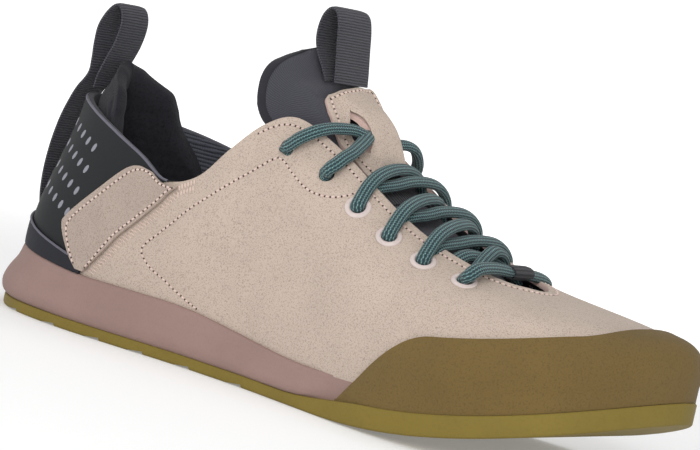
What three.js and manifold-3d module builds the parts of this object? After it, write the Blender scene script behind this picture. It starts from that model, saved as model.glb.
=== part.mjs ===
// Approach shoe, right foot: suede upper on a foam and rubber sole, rubber toe rand,
// heel sling with a webbing strap and pull loop, padded heel, tongue and lacing.
// Millimetres. X runs from heel to toe, lateral side at -Y, floor at Z = 0.

import * as THREE from 'three';
import { mergeVertices } from 'three/addons/utils/BufferGeometryUtils.js';
import Module from 'manifold-3d';

const wasm = await Module();
wasm.setup();

// Driving sizes
const shoeLength = 271.5; // outsole, heel edge to toe edge
const ballWidth = 97; // outsole, across the ball
const instepHeight = 92; // floor to the top of the eyelet flaps
const toeSpring = 24.5; // lift of the toe's underside
const outsoleHeelThickness = 4;
const outsoleToeThickness = 7.6;
const midsoleTopHeel = 20; // floor to the midsole's top at the heel's side
const midsoleTopToe = 14.2; // the same at the ball, before the toe lifts
const heelCupLift = 4.5; // how far the midsole climbs behind the heel
const upperWall = 2.2;
const featherInset = 3.2; // upper's outer face inside the outsole's edge
const heelFeatherInset = 5; // the same behind the heel
const overlayThickness = 1.2;
const randThickness = 2.3;
const randSideHeight = 24.5; // outsole's top to the rand's top edge, at the ball
const randToeHeight = 30; // the same at the toe
const counterHeight = 11;
const insoleThickness = 3.6;
const tongueThickness = 4;
const heelPadThickness = 7.5;
const eyeletInset = 11; // throat edge to a hole's middle
const holeDiameter = 5.4;
const eyeletDiameter = 9.3;
const eyeletFlange = 0.9;
const eyeletSeat = 0.6; // under the flange, over the suede
const laceDiameter = 4.8;
const webbingThickness = 1.4;
const heelWebbingWidth = 15;
const tongueWebbingWidth = 20;
const laceKeeperWidth = 12;
const keeperPatchWidth = 29;
const keeperPatchThickness = 1.5;
const grooveDepth = 1.8;
const grooveWidth = 2.4;
const clearance = 0.3;

const halfBall = ballWidth / 2;

// Sections around the shoe, from the heel's back along each side to the toe's front.
// soleX and edgeX are shares of the length from the middle, soleLat, soleMed, edgeLat
// and edgeMed shares of half the ball's width, latZ and medZ shares of the instep height.
// bulge, rise, lean and drop bend the wall between sole and edge: bulge and lean are
// shares of half the ball's width, rise and drop shares of the wall's height.
const sectionColumns = [
  'name', 'soleLatX', 'soleLatY', 'soleMedX', 'soleMedY', 'bulge', 'rise', 'lean', 'drop',
  'edgeLatX', 'edgeLatY', 'latZ', 'edgeMedX', 'edgeMedY', 'medZ',
];
const sectionRows = [
  ['heelBack', -0.5, 0, -0.5, 0, -0.02, 0.35, 0.02, 0.37, -0.446, 0, 0.88, -0.446, 0, 0.88],
  ['heelTurn', -0.478, 0.361, -0.478, 0.361, 0.01, 0.35, 0.04, 0.36, -0.429, 0.21, 0.868, -0.429, 0.21, 0.868],
  ['heelSide', -0.424, 0.601, -0.424, 0.601, 0.04, 0.34, 0.07, 0.35, -0.384, 0.385, 0.83, -0.384, 0.385, 0.83],
  ['heelFront', -0.341, 0.711, -0.341, 0.691, 0.05, 0.34, 0.08, 0.34, -0.322, 0.52, 0.775, -0.322, 0.52, 0.78],
  ['ankleBack', -0.259, 0.728, -0.263, 0.65, 0.04, 0.34, 0.07, 0.32, -0.266, 0.592, 0.72, -0.266, 0.592, 0.725],
  ['ankle', -0.185, 0.711, -0.193, 0.598, 0.03, 0.34, 0.06, 0.3, -0.216, 0.625, 0.656, -0.216, 0.622, 0.665],
  ['ankleFront', -0.133, 0.705, -0.137, 0.567, 0.03, 0.36, 0.08, 0.3, -0.168, 0.63, 0.702, -0.167, 0.622, 0.72],
  ['flapRise', -0.085, 0.72, -0.085, 0.557, 0.03, 0.38, 0.11, 0.28, -0.13, 0.6, 0.835, -0.131, 0.6, 0.852],
  ['flapTop', -0.041, 0.737, -0.041, 0.57, 0.03, 0.4, 0.14, 0.25, -0.094, 0.54, 0.951, -0.097, 0.548, 0.968],
  ['eyelet6', 0, 0.77, 0.009, 0.603, 0.02, 0.42, 0.18, 0.22, -0.055, 0.46, 1, -0.063, 0.48, 1.0],
  ['eyelet5', 0.055, 0.825, 0.061, 0.69, 0.03, 0.45, 0.23, 0.18, 0.009, 0.397, 0.926, 0.004, 0.425, 0.924],
  ['eyelet4', 0.106, 0.877, 0.117, 0.797, 0.04, 0.48, 0.27, 0.18, 0.066, 0.372, 0.829, 0.063, 0.41, 0.832],
  ['eyelet3', 0.158, 0.933, 0.172, 0.907, 0.06, 0.52, 0.3, 0.17, 0.12, 0.353, 0.742, 0.116, 0.4, 0.75],
  ['eyelet2', 0.211, 0.972, 0.233, 0.985, 0.08, 0.56, 0.33, 0.18, 0.172, 0.324, 0.678, 0.168, 0.384, 0.684],
  ['eyelet1', 0.274, 0.967, 0.3, 0.998, 0.1, 0.62, 0.36, 0.19, 0.224, 0.274, 0.634, 0.218, 0.352, 0.638],
  ['toeSide', 0.35, 0.84, 0.376, 0.91, 0.1, 0.72, 0.44, 0.19, 0.261, 0.182, 0.61, 0.254, 0.288, 0.62],
  ['toeTurn', 0.419, 0.608, 0.444, 0.711, 0.1, 0.82, 0.54, 0.24, 0.281, 0.085, 0.604, 0.275, 0.215, 0.612],
  ['toeFront', 0.472, 0.289, 0.487, 0.464, 0.1, 0.9, 0.62, 0.27, 0.289, 0.005, 0.6, 0.287, 0.135, 0.602],
  ['toeTip', 0.5, -0.144, 0.5, 0.144, 0.11, 0.94, 0.66, 0.29, 0.291, -0.065, 0.6, 0.291, 0.065, 0.6],
];
const sections = sectionRows.map((row) =>
  Object.fromEntries(row.map((value, i) => [sectionColumns[i], value])));
const lateralSections = sections;
const medialSections = sections.slice(1, -1).reverse();
const stationCount = lateralSections.length + medialSections.length;
const station = (name) => sections.findIndex((row) => row.name === name);
const toeStation = station('toeTip');

// Each closed curve below passes its sections in turn: lateral side out, medial side back
function aroundShoe(lateral, medial) {
  const points = [...lateralSections.map(lateral), ...medialSections.map(medial)];
  const curve = new THREE.CatmullRomCurve3(points, true, 'catmullrom', 0.5);
  return (s) => curve.getPoint(THREE.MathUtils.euclideanModulo(s / stationCount, 1));
}
const solePlan = aroundShoe(
  (row) => new THREE.Vector3(row.soleLatX * shoeLength, -row.soleLatY * halfBall, 0),
  (row) => new THREE.Vector3(row.soleMedX * shoeLength, row.soleMedY * halfBall, 0));
const openingEdge = aroundShoe(
  (row) => new THREE.Vector3(row.edgeLatX * shoeLength, -row.edgeLatY * halfBall, row.latZ * instepHeight),
  (row) => new THREE.Vector3(row.edgeMedX * shoeLength, row.edgeMedY * halfBall, row.medZ * instepHeight));
const wallForm = (row) => new THREE.Vector4(row.bulge, row.rise, row.lean, row.drop);
function formAt(s) {
  const place = THREE.MathUtils.euclideanModulo(s, stationCount);
  const mirrored = place <= toeStation ? place : stationCount - place;
  const row = Math.min(Math.floor(mirrored), toeStation - 1);
  return wallForm(sections[row]).lerp(wallForm(sections[row + 1]), mirrored - row);
}

// Heights along the shoe, by the share of the length from the heel
const smooth = (from, to, value) => THREE.MathUtils.smoothstep(value, from, to);
const shareOf = (x) => THREE.MathUtils.clamp(x / shoeLength + 0.5, 0, 1);
const springFrom = 0.594;
const liftAt = (x) => toeSpring * (Math.max(0, shareOf(x) - springFrom) / (1 - springFrom)) ** 2;
const thickenFrom = 0.54;
const thickenTo = 0.69;
function outsoleTop(x) {
  const fore = smooth(thickenFrom, thickenTo, shareOf(x));
  return liftAt(x) + THREE.MathUtils.lerp(outsoleHeelThickness, outsoleToeThickness, fore);
}
const heelCupShare = 0.2;
const midsoleFallFrom = 0.32;
const midsoleFallTo = 0.57;
function midsoleTop(x) {
  const fore = smooth(midsoleFallFrom, midsoleFallTo, shareOf(x));
  const cup = heelCupLift * Math.max(0, 1 - shareOf(x) / heelCupShare) ** 1.5;
  return liftAt(x) + cup + THREE.MathUtils.lerp(midsoleTopHeel, midsoleTopToe, fore);
}

// Outward direction of the sole's edge, and a point on or inside that edge
function soleNormal(s) {
  const ahead = solePlan(s + 0.02).sub(solePlan(s - 0.02));
  return new THREE.Vector3(ahead.y, -ahead.x, 0).normalize();
}
function soleEdge(s, inset, z) {
  const point = solePlan(s).addScaledVector(soleNormal(s), -inset);
  point.z = z;
  return point;
}

const insetAt = (share) => THREE.MathUtils.lerp(heelFeatherInset, featherInset, smooth(0, heelCupShare, share));

// The upper's outer face: one bent line from the sole to the opening at each station
const lineSteps = 40;
function wallLine(s) {
  const form = formAt(s);
  const normal = soleNormal(s);
  const edge = openingEdge(s);
  const foot = soleEdge(s, insetAt(shareOf(solePlan(s).x)), 0);
  foot.z = midsoleTop(foot.x) + clearance;
  const height = edge.z - foot.z;
  const low = foot.clone().addScaledVector(normal, form.x * halfBall);
  low.z += form.y * height;
  const high = edge.clone().addScaledVector(normal, form.z * halfBall);
  high.z -= form.w * height;
  const points = new THREE.CubicBezierCurve3(foot, low, high, edge).getPoints(lineSteps);
  const lengths = [0];
  for (let i = 1; i < points.length; i += 1) {
    lengths.push(lengths[i - 1] + points[i].distanceTo(points[i - 1]));
  }
  return { points, lengths, total: lengths[lineSteps] };
}
function alongLine(line, distance) {
  const wanted = THREE.MathUtils.clamp(distance, 0, line.total);
  let i = 1;
  while (i < lineSteps && line.lengths[i] < wanted) i += 1;
  const part = (wanted - line.lengths[i - 1]) / (line.lengths[i] - line.lengths[i - 1]);
  return line.points[i - 1].clone().lerp(line.points[i], part);
}
// share 0 is at the sole and 1 at the opening's edge; offset is outward
function skin(s, share, offset = 0) {
  const line = wallLine(s);
  const point = alongLine(line, share * line.total);
  if (offset === 0) return point;
  const after = wallLine(s + 0.04);
  const before = wallLine(s - 0.04);
  const turn = alongLine(after, share * after.total).sub(alongLine(before, share * before.total));
  const step = 1.2;
  const up = alongLine(line, share * line.total + step).sub(alongLine(line, share * line.total - step));
  return point.addScaledVector(turn.cross(up).normalize(), offset);
}
// Station and share of the point of one side wall that has this X and Z
function onSide(side, x, z) {
  const sign = side === 'lateral' ? 1 : -1;
  let s = sign * station('ankle');
  let share = 0.5;
  for (let i = 0; i < 60; i += 1) {
    const point = skin(s, share);
    s += sign * 0.03 * (x - point.x);
    share += 0.012 * (z - point.z);
  }
  return { s, share };
}

// Solids from two facing layers of points, layer[column][row]
const addQuad = (list, a, b, c, d) => list.push(a, b, c, a, c, d);
function geometryFrom(list) {
  const geometry = new THREE.BufferGeometry().setFromPoints(list);
  return mergeVertices(geometry, 1e-4);
}
function holeRing(layer, hole) {
  const count = layer.length;
  const at = (i, j) => layer[THREE.MathUtils.euclideanModulo(hole.column + i, count)][hole.row + j];
  const around = [[-1, -1], [0, -1], [1, -1], [1, 0], [1, 1], [0, 1], [-1, 1], [-1, 0]];
  const centre = at(0, 0);
  const outer = around.map(([i, j]) => at(i, j));
  const inner = outer.map((point) =>
    centre.clone().addScaledVector(point.clone().sub(centre).normalize(), holeDiameter / 2));
  return { outer, inner };
}
function layered(front, back, closed, holes = []) {
  const list = [];
  const columns = front.length;
  const rows = front[0].length;
  const spans = closed ? columns : columns - 1;
  const opened = (i, j) => holes.some((hole) =>
    (i === hole.column || i === hole.column - 1) && (j === hole.row || j === hole.row - 1));
  for (let i = 0; i < spans; i += 1) {
    const n = (i + 1) % columns;
    for (let j = 0; j < rows - 1; j += 1) {
      if (opened(i, j)) continue;
      addQuad(list, front[i][j], front[n][j], front[n][j + 1], front[i][j + 1]);
      addQuad(list, back[i][j + 1], back[n][j + 1], back[n][j], back[i][j]);
    }
    const top = rows - 1;
    addQuad(list, front[i][top], front[n][top], back[n][top], back[i][top]);
    addQuad(list, back[i][0], back[n][0], front[n][0], front[i][0]);
  }
  if (!closed) {
    const last = columns - 1;
    for (let j = 0; j < rows - 1; j += 1) {
      addQuad(list, front[last][j], back[last][j], back[last][j + 1], front[last][j + 1]);
      addQuad(list, back[0][j], front[0][j], front[0][j + 1], back[0][j + 1]);
    }
  }
  for (const hole of holes) {
    const outside = holeRing(front, hole);
    const inside = holeRing(back, hole);
    for (let k = 0; k < 8; k += 1) {
      const n = (k + 1) % 8;
      addQuad(list, outside.outer[k], outside.outer[n], outside.inner[n], outside.inner[k]);
      addQuad(list, inside.outer[n], inside.outer[k], inside.inner[k], inside.inner[n]);
      addQuad(list, outside.inner[k], outside.inner[n], inside.inner[n], inside.inner[k]);
    }
  }
  return geometryFrom(list);
}

// A slab inside the sole's edge: walls from rows of inset and height, flat-laid top and bottom
function soleSlab(stations, rows) {
  const walls = stations.map((s) => rows.map((row) => {
    const inset = row.inset(shareOf(solePlan(s).x));
    const point = soleEdge(s, inset, 0);
    point.z = row.height(point.x);
    return point;
  }));
  const list = [];
  const count = walls.length;
  const top = rows.length - 1;
  for (let i = 0; i < count; i += 1) {
    const n = (i + 1) % count;
    for (let j = 0; j < top; j += 1) {
      addQuad(list, walls[i][j], walls[n][j], walls[n][j + 1], walls[i][j + 1]);
    }
  }
  const half = count / 2;
  for (let i = 0; i < half; i += 1) {
    const a = i;
    const b = i + 1;
    const c = (count - i - 1) % count;
    const d = (count - i) % count;
    addQuad(list, walls[a][top], walls[b][top], walls[c][top], walls[d][top]);
    addQuad(list, walls[d][0], walls[c][0], walls[b][0], walls[a][0]);
  }
  const faces = list.length / 3;
  const kept = [];
  for (let f = 0; f < faces; f += 1) {
    const [p, q, r] = list.slice(3 * f, 3 * f + 3);
    if (p !== q && q !== r && r !== p) kept.push(p, q, r);
  }
  return geometryFrom(kept);
}

// Boolean work on closed meshes
function toSolid(geometry) {
  const bare = geometry.clone();
  bare.deleteAttribute('normal');
  bare.deleteAttribute('uv');
  const merged = mergeVertices(bare, 1e-4);
  return new wasm.Manifold(new wasm.Mesh({
    numProp: 3,
    vertProperties: new Float32Array(merged.attributes.position.array),
    triVerts: new Uint32Array(merged.index.array),
  }));
}
function fromSolid(solid) {
  const mesh = solid.getMesh();
  const geometry = new THREE.BufferGeometry();
  geometry.setAttribute('position', new THREE.BufferAttribute(new Float32Array(mesh.vertProperties), 3));
  geometry.setIndex(new THREE.BufferAttribute(new Uint32Array(mesh.triVerts), 1));
  return geometry;
}

const shoe = new THREE.Group();
const materials = {
  suede: { color: 0xc6b6a6, roughness: 0.95, metalness: 0 },
  toeRubber: { color: 0x6b5a30, roughness: 0.85, metalness: 0 },
  soleRubber: { color: 0x857535, roughness: 0.6, metalness: 0 },
  foam: { color: 0xa08078, roughness: 0.75, metalness: 0 },
  counter: { color: 0x2a2b33, roughness: 0.6, metalness: 0 },
  padding: { color: 0x2c2c30, roughness: 1, metalness: 0 },
  tongueCloth: { color: 0x45454d, roughness: 0.95, metalness: 0 },
  webbing: { color: 0x4a4a52, roughness: 0.9, metalness: 0 },
  lace: { color: 0x2f5a5e, roughness: 0.85, metalness: 0 },
  eyelet: { color: 0xd8c9c4, roughness: 0.4, metalness: 0 },
  insole: { color: 0x3a3a3e, roughness: 0.95, metalness: 0 },
};
function addPiece(name, geometry, finish) {
  const mesh = new THREE.Mesh(geometry, new THREE.MeshStandardMaterial(materials[finish]));
  mesh.name = name;
  shoe.add(mesh);
  return mesh;
}

// Stations of the sole's walls, the same number on each side of heel and toe
const soleStations = [];
for (let s = 0; s < stationCount; s += 1) soleStations.push(s, s + 0.5);
const underRand = (share) => smooth(0.57, 0.62, share);

function buildOutsole() {
  const bottomBevel = 1.2;
  const rows = [
    { inset: () => bottomBevel, height: (x) => liftAt(x) },
    { inset: () => 0, height: (x) => liftAt(x) + bottomBevel },
    { inset: () => 0, height: (x) => outsoleTop(x) },
  ];
  let solid = toSolid(soleSlab(soleStations, rows));
  // Grooves across the tread, spaced evenly along the flat of heel and ball
  const grooveShares = [0.08, 0.155, 0.23, 0.305, 0.38, 0.455, 0.53];
  for (const share of grooveShares) {
    const groove = new THREE.BoxGeometry(grooveWidth, ballWidth * 1.2, grooveDepth * 2);
    groove.translate((share - 0.5) * shoeLength, 0, 0);
    solid = solid.subtract(toSolid(groove));
  }
  addPiece('outsole', fromSolid(solid), 'soleRubber');
}

function buildMidsole() {
  // The side swells low down and draws in under the upper; inside the rand it is plain
  const sideInset = (beside) => (share) => THREE.MathUtils.lerp(beside(share), featherInset, underRand(share));
  const between = (part) => (x) => THREE.MathUtils.lerp(outsoleTop(x) + clearance, midsoleTop(x), part);
  const rows = [
    { inset: sideInset(() => 0.6), height: between(0) },
    { inset: sideInset((share) => THREE.MathUtils.lerp(-1.9, -0.9, smooth(0.08, 0.25, share))), height: between(0.28) },
    { inset: sideInset((share) => 0.5 * insetAt(share) - 0.4), height: between(0.7) },
    { inset: sideInset((share) => insetAt(share) - 1.2), height: between(1) },
  ];
  addPiece('midsole', soleSlab(soleStations, rows), 'foam');
}

function buildInsole() {
  const inset = (share) => insetAt(share) + upperWall + 1.4;
  const rows = [
    { inset, height: (x) => midsoleTop(x) + clearance },
    { inset, height: (x) => midsoleTop(x) + clearance + insoleThickness },
  ];
  const stations = soleStations.filter((s, i) => i % 2 === 0);
  addPiece('insole', soleSlab(stations, rows), 'insole');
}

// Columns of the upper: three to an eyelet's pitch, two to the others, one more at the ends
const holeReach = 0.28;
function upperStations() {
  const marks = [];
  const first = station('flapTop');
  const last = station('eyelet1');
  for (let row = 0; row < stationCount; row += 1) {
    const place = row <= toeStation ? row : stationCount - row;
    const next = row < toeStation ? place + 1 : place - 1;
    const isLaced = Math.min(place, next) >= first && Math.max(place, next) <= last + 1;
    if (isLaced) marks.push(row, row + holeReach, row + 1 - holeReach);
    else marks.push(row, row + 0.5);
  }
  return marks;
}
const eyeletNames = ['eyelet1', 'eyelet2', 'eyelet3', 'eyelet4', 'eyelet5', 'eyelet6'];
const laceStation = (side, number) => {
  const place = station(`eyelet${number}`);
  return side === 'lateral' ? place : stationCount - place;
};

const edgeRows = 3; // rows between the opening's edge and the row past the holes
const lowerRows = 6;
function upperShares(s) {
  const { total } = wallLine(s);
  const pitch = eyeletInset / 2;
  const lowest = 1 - edgeRows * pitch / total;
  const shares = [];
  for (let i = 0; i < lowerRows; i += 1) shares.push(lowest * i / lowerRows);
  for (let i = edgeRows; i >= 0; i -= 1) shares.push(1 - i * pitch / total);
  return shares;
}

function buildUpper() {
  const marks = upperStations();
  const front = marks.map((s) => upperShares(s).map((share) => skin(s, share)));
  const back = marks.map((s) => upperShares(s).map((share) => skin(s, share, -upperWall)));
  const holeRow = lowerRows + 1;
  const holes = [];
  for (const side of ['lateral', 'medial']) {
    for (let number = 1; number <= eyeletNames.length; number += 1) {
      holes.push({ column: marks.indexOf(laceStation(side, number)), row: holeRow });
    }
  }
  addPiece('upper', layered(front, back, true, holes), 'suede');
}

// Rubber rand around the toe: over the midsole's side first, then up the upper
const randEndX = { lateral: 0.133 * shoeLength, medial: 0.148 * shoeLength };
const randFullX = { lateral: 0.262 * shoeLength, medial: 0.285 * shoeLength };
const randRiseSpan = 1.7; // stations beside the toe's tip over which the top edge climbs
function randReach(s) {
  const side = s <= toeStation ? 'lateral' : 'medial';
  const { x } = solePlan(s);
  const part = (x - randEndX[side]) / (randFullX[side] - randEndX[side]);
  const climb = smooth(-randRiseSpan, 0, -Math.abs(s - toeStation));
  const full = THREE.MathUtils.lerp(randSideHeight, randToeHeight, climb);
  return full * Math.sin(Math.PI / 2 * THREE.MathUtils.clamp(part, 0.04, 1));
}
function randPoint(s, height, offset) {
  const base = solePlan(s);
  const foot = midsoleTop(base.x) + clearance;
  const bottom = outsoleTop(base.x) + clearance;
  const band = foot - bottom;
  if (height < band) {
    return soleEdge(s, featherInset - offset, bottom + height);
  }
  const line = wallLine(s);
  return skin(s, (height - band) / line.total, offset);
}
function stationAtX(side, x) {
  let low = station('eyelet6');
  let high = toeStation - 1;
  const sign = side === 'lateral' ? 1 : -1;
  for (let i = 0; i < 30; i += 1) {
    const middle = (low + high) / 2;
    if (solePlan(sign * middle).x < x) low = middle;
    else high = middle;
  }
  return side === 'lateral' ? low : stationCount - low;
}
function buildRand() {
  const from = stationAtX('lateral', randEndX.lateral);
  const to = stationAtX('medial', randEndX.medial);
  const between = upperStations().filter((s) => s > from + 0.2 && s < to - 0.2);
  const rows = 6;
  const edgeThickness = 1.2;
  const seat = 2 * clearance;
  const front = [];
  const back = [];
  for (const s of [from, ...between, to]) {
    const reach = randReach(s);
    const ends = Math.min(1, Math.min(s - from, to - s) / 2);
    const outer = [];
    const inner = [];
    for (let j = 0; j <= rows; j += 1) {
      const part = j / rows;
      const thin = Math.max(smooth(0.75, 1, part), 1 - ends);
      const thickness = THREE.MathUtils.lerp(randThickness, edgeThickness, thin);
      outer.push(randPoint(s, reach * part, seat + thickness));
      inner.push(randPoint(s, reach * part, seat));
    }
    front.push(outer);
    back.push(inner);
  }
  addPiece('toe_rand', layered(front, back, false), 'toeRubber');
}

// Stiff counter around the heel's foot, lower at its ends than behind
function buildCounter() {
  const endStation = station('heelFront') - 0.08;
  const columns = 20;
  const rows = 2;
  const lowShare = 0.5;
  const front = [];
  const back = [];
  for (let i = 0; i <= columns; i += 1) {
    const turn = 2 * i / columns - 1;
    const s = endStation * turn;
    const height = counterHeight * THREE.MathUtils.lerp(1, lowShare, Math.abs(turn) ** 1.5);
    const share = height / wallLine(s).total;
    const outer = [];
    const inner = [];
    for (let j = 0; j <= rows; j += 1) {
      outer.push(skin(s, share * j / rows, clearance + overlayThickness));
      inner.push(skin(s, share * j / rows, clearance));
    }
    front.push(outer);
    back.push(inner);
  }
  addPiece('heel_counter', layered(front, back, false), 'counter');
}

// Suede flap on each side of the heel: rows from the sole up, back edge then front edge,
// X as shares of the length from the middle and Z as shares of the instep height
const flapColumns = ['backX', 'backZ', 'frontX', 'frontZ'];
const flapRows = [
  [-0.322, 0.238, -0.309, 0.236],
  [-0.340, 0.290, -0.292, 0.295],
  [-0.362, 0.378, -0.277, 0.350],
  [-0.358, 0.424, -0.264, 0.402],
  [-0.318, 0.545, -0.239, 0.478],
  [-0.284, 0.645, -0.214, 0.560],
  [-0.262, 0.676, -0.201, 0.612],
  [-0.238, 0.668, -0.190, 0.640],
].map((row) => Object.fromEntries(row.map((value, i) => [flapColumns[i], value])));
function buildHeelFlap(side) {
  const across = 5;
  const corner = (x, z) => onSide(side, x * shoeLength, z * instepHeight);
  const front = [];
  const back = [];
  for (let i = 0; i <= across; i += 1) {
    const outer = [];
    const inner = [];
    for (const row of flapRows) {
      const rear = corner(row.backX, row.backZ);
      const fore = corner(row.frontX, row.frontZ);
      const s = THREE.MathUtils.lerp(rear.s, fore.s, i / across);
      const share = THREE.MathUtils.lerp(rear.share, fore.share, i / across);
      outer.push(skin(s, share, 2 * clearance + overlayThickness));
      inner.push(skin(s, share, 2 * clearance));
    }
    front.push(outer);
    back.push(inner);
  }
  if (side === 'medial') {
    front.reverse();
    back.reverse();
  }
  addPiece(`heel_flap_${side}`, layered(front, back, false), 'suede');
}

// Padded heel lining: follows the wall's inside and stands above the sling at the back
const padRows = [
  { turn: 0, top: 1.035, gap: 2.1 },
  { turn: 1, top: 0.985, gap: 2.1 },
  { turn: 2, top: 0.9, gap: 0.3 },
  { turn: 3, top: 0.64, gap: 0.3 },
  { turn: 3.4, top: 0.52, gap: 0.3 },
];
function padRow(turn) {
  const after = Math.max(1, padRows.findIndex((row) => row.turn >= turn));
  const a = padRows[after - 1];
  const b = padRows[after];
  const part = (turn - a.turn) / (b.turn - a.turn);
  return {
    top: THREE.MathUtils.lerp(a.top, b.top, part) * instepHeight,
    gap: THREE.MathUtils.lerp(a.gap, b.gap, part),
  };
}
function heelInside(s, z, depth) {
  const line = wallLine(s);
  const edgeZ = line.points[lineSteps].z;
  let low = 0;
  let high = 1;
  for (let i = 0; i < 20; i += 1) {
    const middle = (low + high) / 2;
    if (alongLine(line, middle * line.total).z < z) low = middle;
    else high = middle;
  }
  const share = Math.min(low, 0.985);
  const point = skin(s, share, -depth);
  if (z > edgeZ - 1) {
    const lean = 0.42;
    const forward = new THREE.Vector3(1, 0, 0);
    const over = z - point.z;
    point.z = z;
    point.addScaledVector(forward, lean * over * Math.max(0, Math.min(1, over / 6)));
  }
  return point;
}
function buildHeelPad() {
  const reach = padRows[padRows.length - 1].turn;
  const columns = 14;
  const rows = 6;
  const bottomShare = 0.42;
  const front = [];
  const back = [];
  for (let i = 0; i <= columns; i += 1) {
    const s = reach * (2 * i / columns - 1);
    const { top, gap } = padRow(Math.abs(s));
    const outer = [];
    const inner = [];
    for (let j = 0; j <= rows; j += 1) {
      const part = j / rows;
      const z = THREE.MathUtils.lerp(bottomShare * instepHeight, top, part);
      const crown = Math.sqrt(Math.max(0, 1 - Math.abs(2 * part - 1) ** 4));
      const ends = Math.sqrt(Math.max(0, 1 - Math.abs(2 * i / columns - 1) ** 6));
      const thickness = 1.4 + (heelPadThickness - 1.4) * Math.min(crown, ends);
      outer.push(heelInside(s, z, upperWall + gap));
      inner.push(heelInside(s, z, upperWall + gap + thickness));
    }
    front.push(outer);
    back.push(inner);
  }
  addPiece('heel_padding', layered(front, back, false), 'padding');
}

// A strip lying across the shoe: its front line in the XZ plane, half width and side drop
function stripLayers(rows, thickness, across) {
  const front = [];
  const back = [];
  const line = new THREE.CatmullRomCurve3(
    rows.map((row) => new THREE.Vector3(row.x, 0, row.z)), false, 'catmullrom', 0.5);
  for (let i = 0; i <= across; i += 1) {
    const turn = 2 * i / across - 1;
    const outer = [];
    const inner = [];
    rows.forEach((row, j) => {
      const ahead = line.getTangent(j / (rows.length - 1));
      const normal = new THREE.Vector3(-ahead.z, 0, ahead.x).normalize();
      if (normal.x < 0 && normal.z < 0) normal.negate();
      const point = new THREE.Vector3(row.x, row.halfWidth * turn, row.z);
      point.addScaledVector(normal, -row.drop * turn * turn);
      const thick = row.thickness ?? thickness;
      outer.push(point);
      inner.push(point.clone().addScaledVector(normal, -thick * (1 - 0.5 * turn ** 4)));
    });
    front.push(outer);
    back.push(inner);
  }
  return { front, back };
}
const named = (columns, rows) => rows.map((row) =>
  Object.fromEntries(row.map((value, i) => [columns[i], value])));
const scaledRows = (rows) => rows.map((row) => ({
  ...row,
  x: row.x * shoeLength,
  z: row.z * instepHeight,
  halfWidth: row.halfWidth * halfBall,
  drop: row.drop * halfBall,
}));
const tongueRows = scaledRows(named(['x', 'z', 'halfWidth', 'drop'], [
  [0.262, 0.54, 0.2, 0.05],
  [0.215, 0.58, 0.33, 0.11],
  [0.163, 0.64, 0.39, 0.15],
  [0.107, 0.715, 0.42, 0.18],
  [0.056, 0.8, 0.44, 0.22],
  [0.011, 0.89, 0.46, 0.26],
  [-0.024, 0.99, 0.455, 0.28],
  [-0.048, 1.085, 0.48, 0.38],
  [-0.069, 1.17, 0.51, 0.33],
  [-0.085, 1.235, 0.42, 0.19],
  [-0.094, 1.268, 0.18, 0.05],
]));
function buildTongue() {
  const { front, back } = stripLayers(tongueRows, tongueThickness, 8);
  addPiece('tongue', layered(front, back, false), 'tongueCloth');
}
const tongueLine = new THREE.CatmullRomCurve3(
  tongueRows.map((row) => new THREE.Vector3(row.x, 0, row.z)), false, 'catmullrom', 0.5);
const tongueSteps = 120;
const tongueMarks = Array.from({ length: tongueSteps + 1 }, (unused, i) => tongueLine.getPoint(i / tongueSteps));
// The mark of the tongue's middle line that costs least, and a point over its face there
function tongueMark(cost) {
  let best = 0;
  tongueMarks.forEach((point, i) => {
    if (cost(point) < cost(tongueMarks[best])) best = i;
  });
  return best;
}
function overTongueMark(mark, y, height) {
  const place = mark / tongueSteps * (tongueRows.length - 1);
  const row = Math.min(Math.floor(place), tongueRows.length - 2);
  const [a, b] = [tongueRows[row], tongueRows[row + 1]];
  const halfWidth = THREE.MathUtils.lerp(a.halfWidth, b.halfWidth, place - row);
  const drop = THREE.MathUtils.lerp(a.drop, b.drop, place - row);
  const ahead = tongueLine.getTangent(mark / tongueSteps);
  const normal = new THREE.Vector3(-ahead.z, 0, ahead.x).normalize();
  if (normal.x < 0 && normal.z < 0) normal.negate();
  const point = tongueMarks[mark].clone();
  point.y = y;
  return point.addScaledVector(normal, height - drop * (y / halfWidth) ** 2);
}
const overTongue = (x, y, height) => overTongueMark(tongueMark((point) => Math.abs(point.x - x)), y, height);

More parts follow.
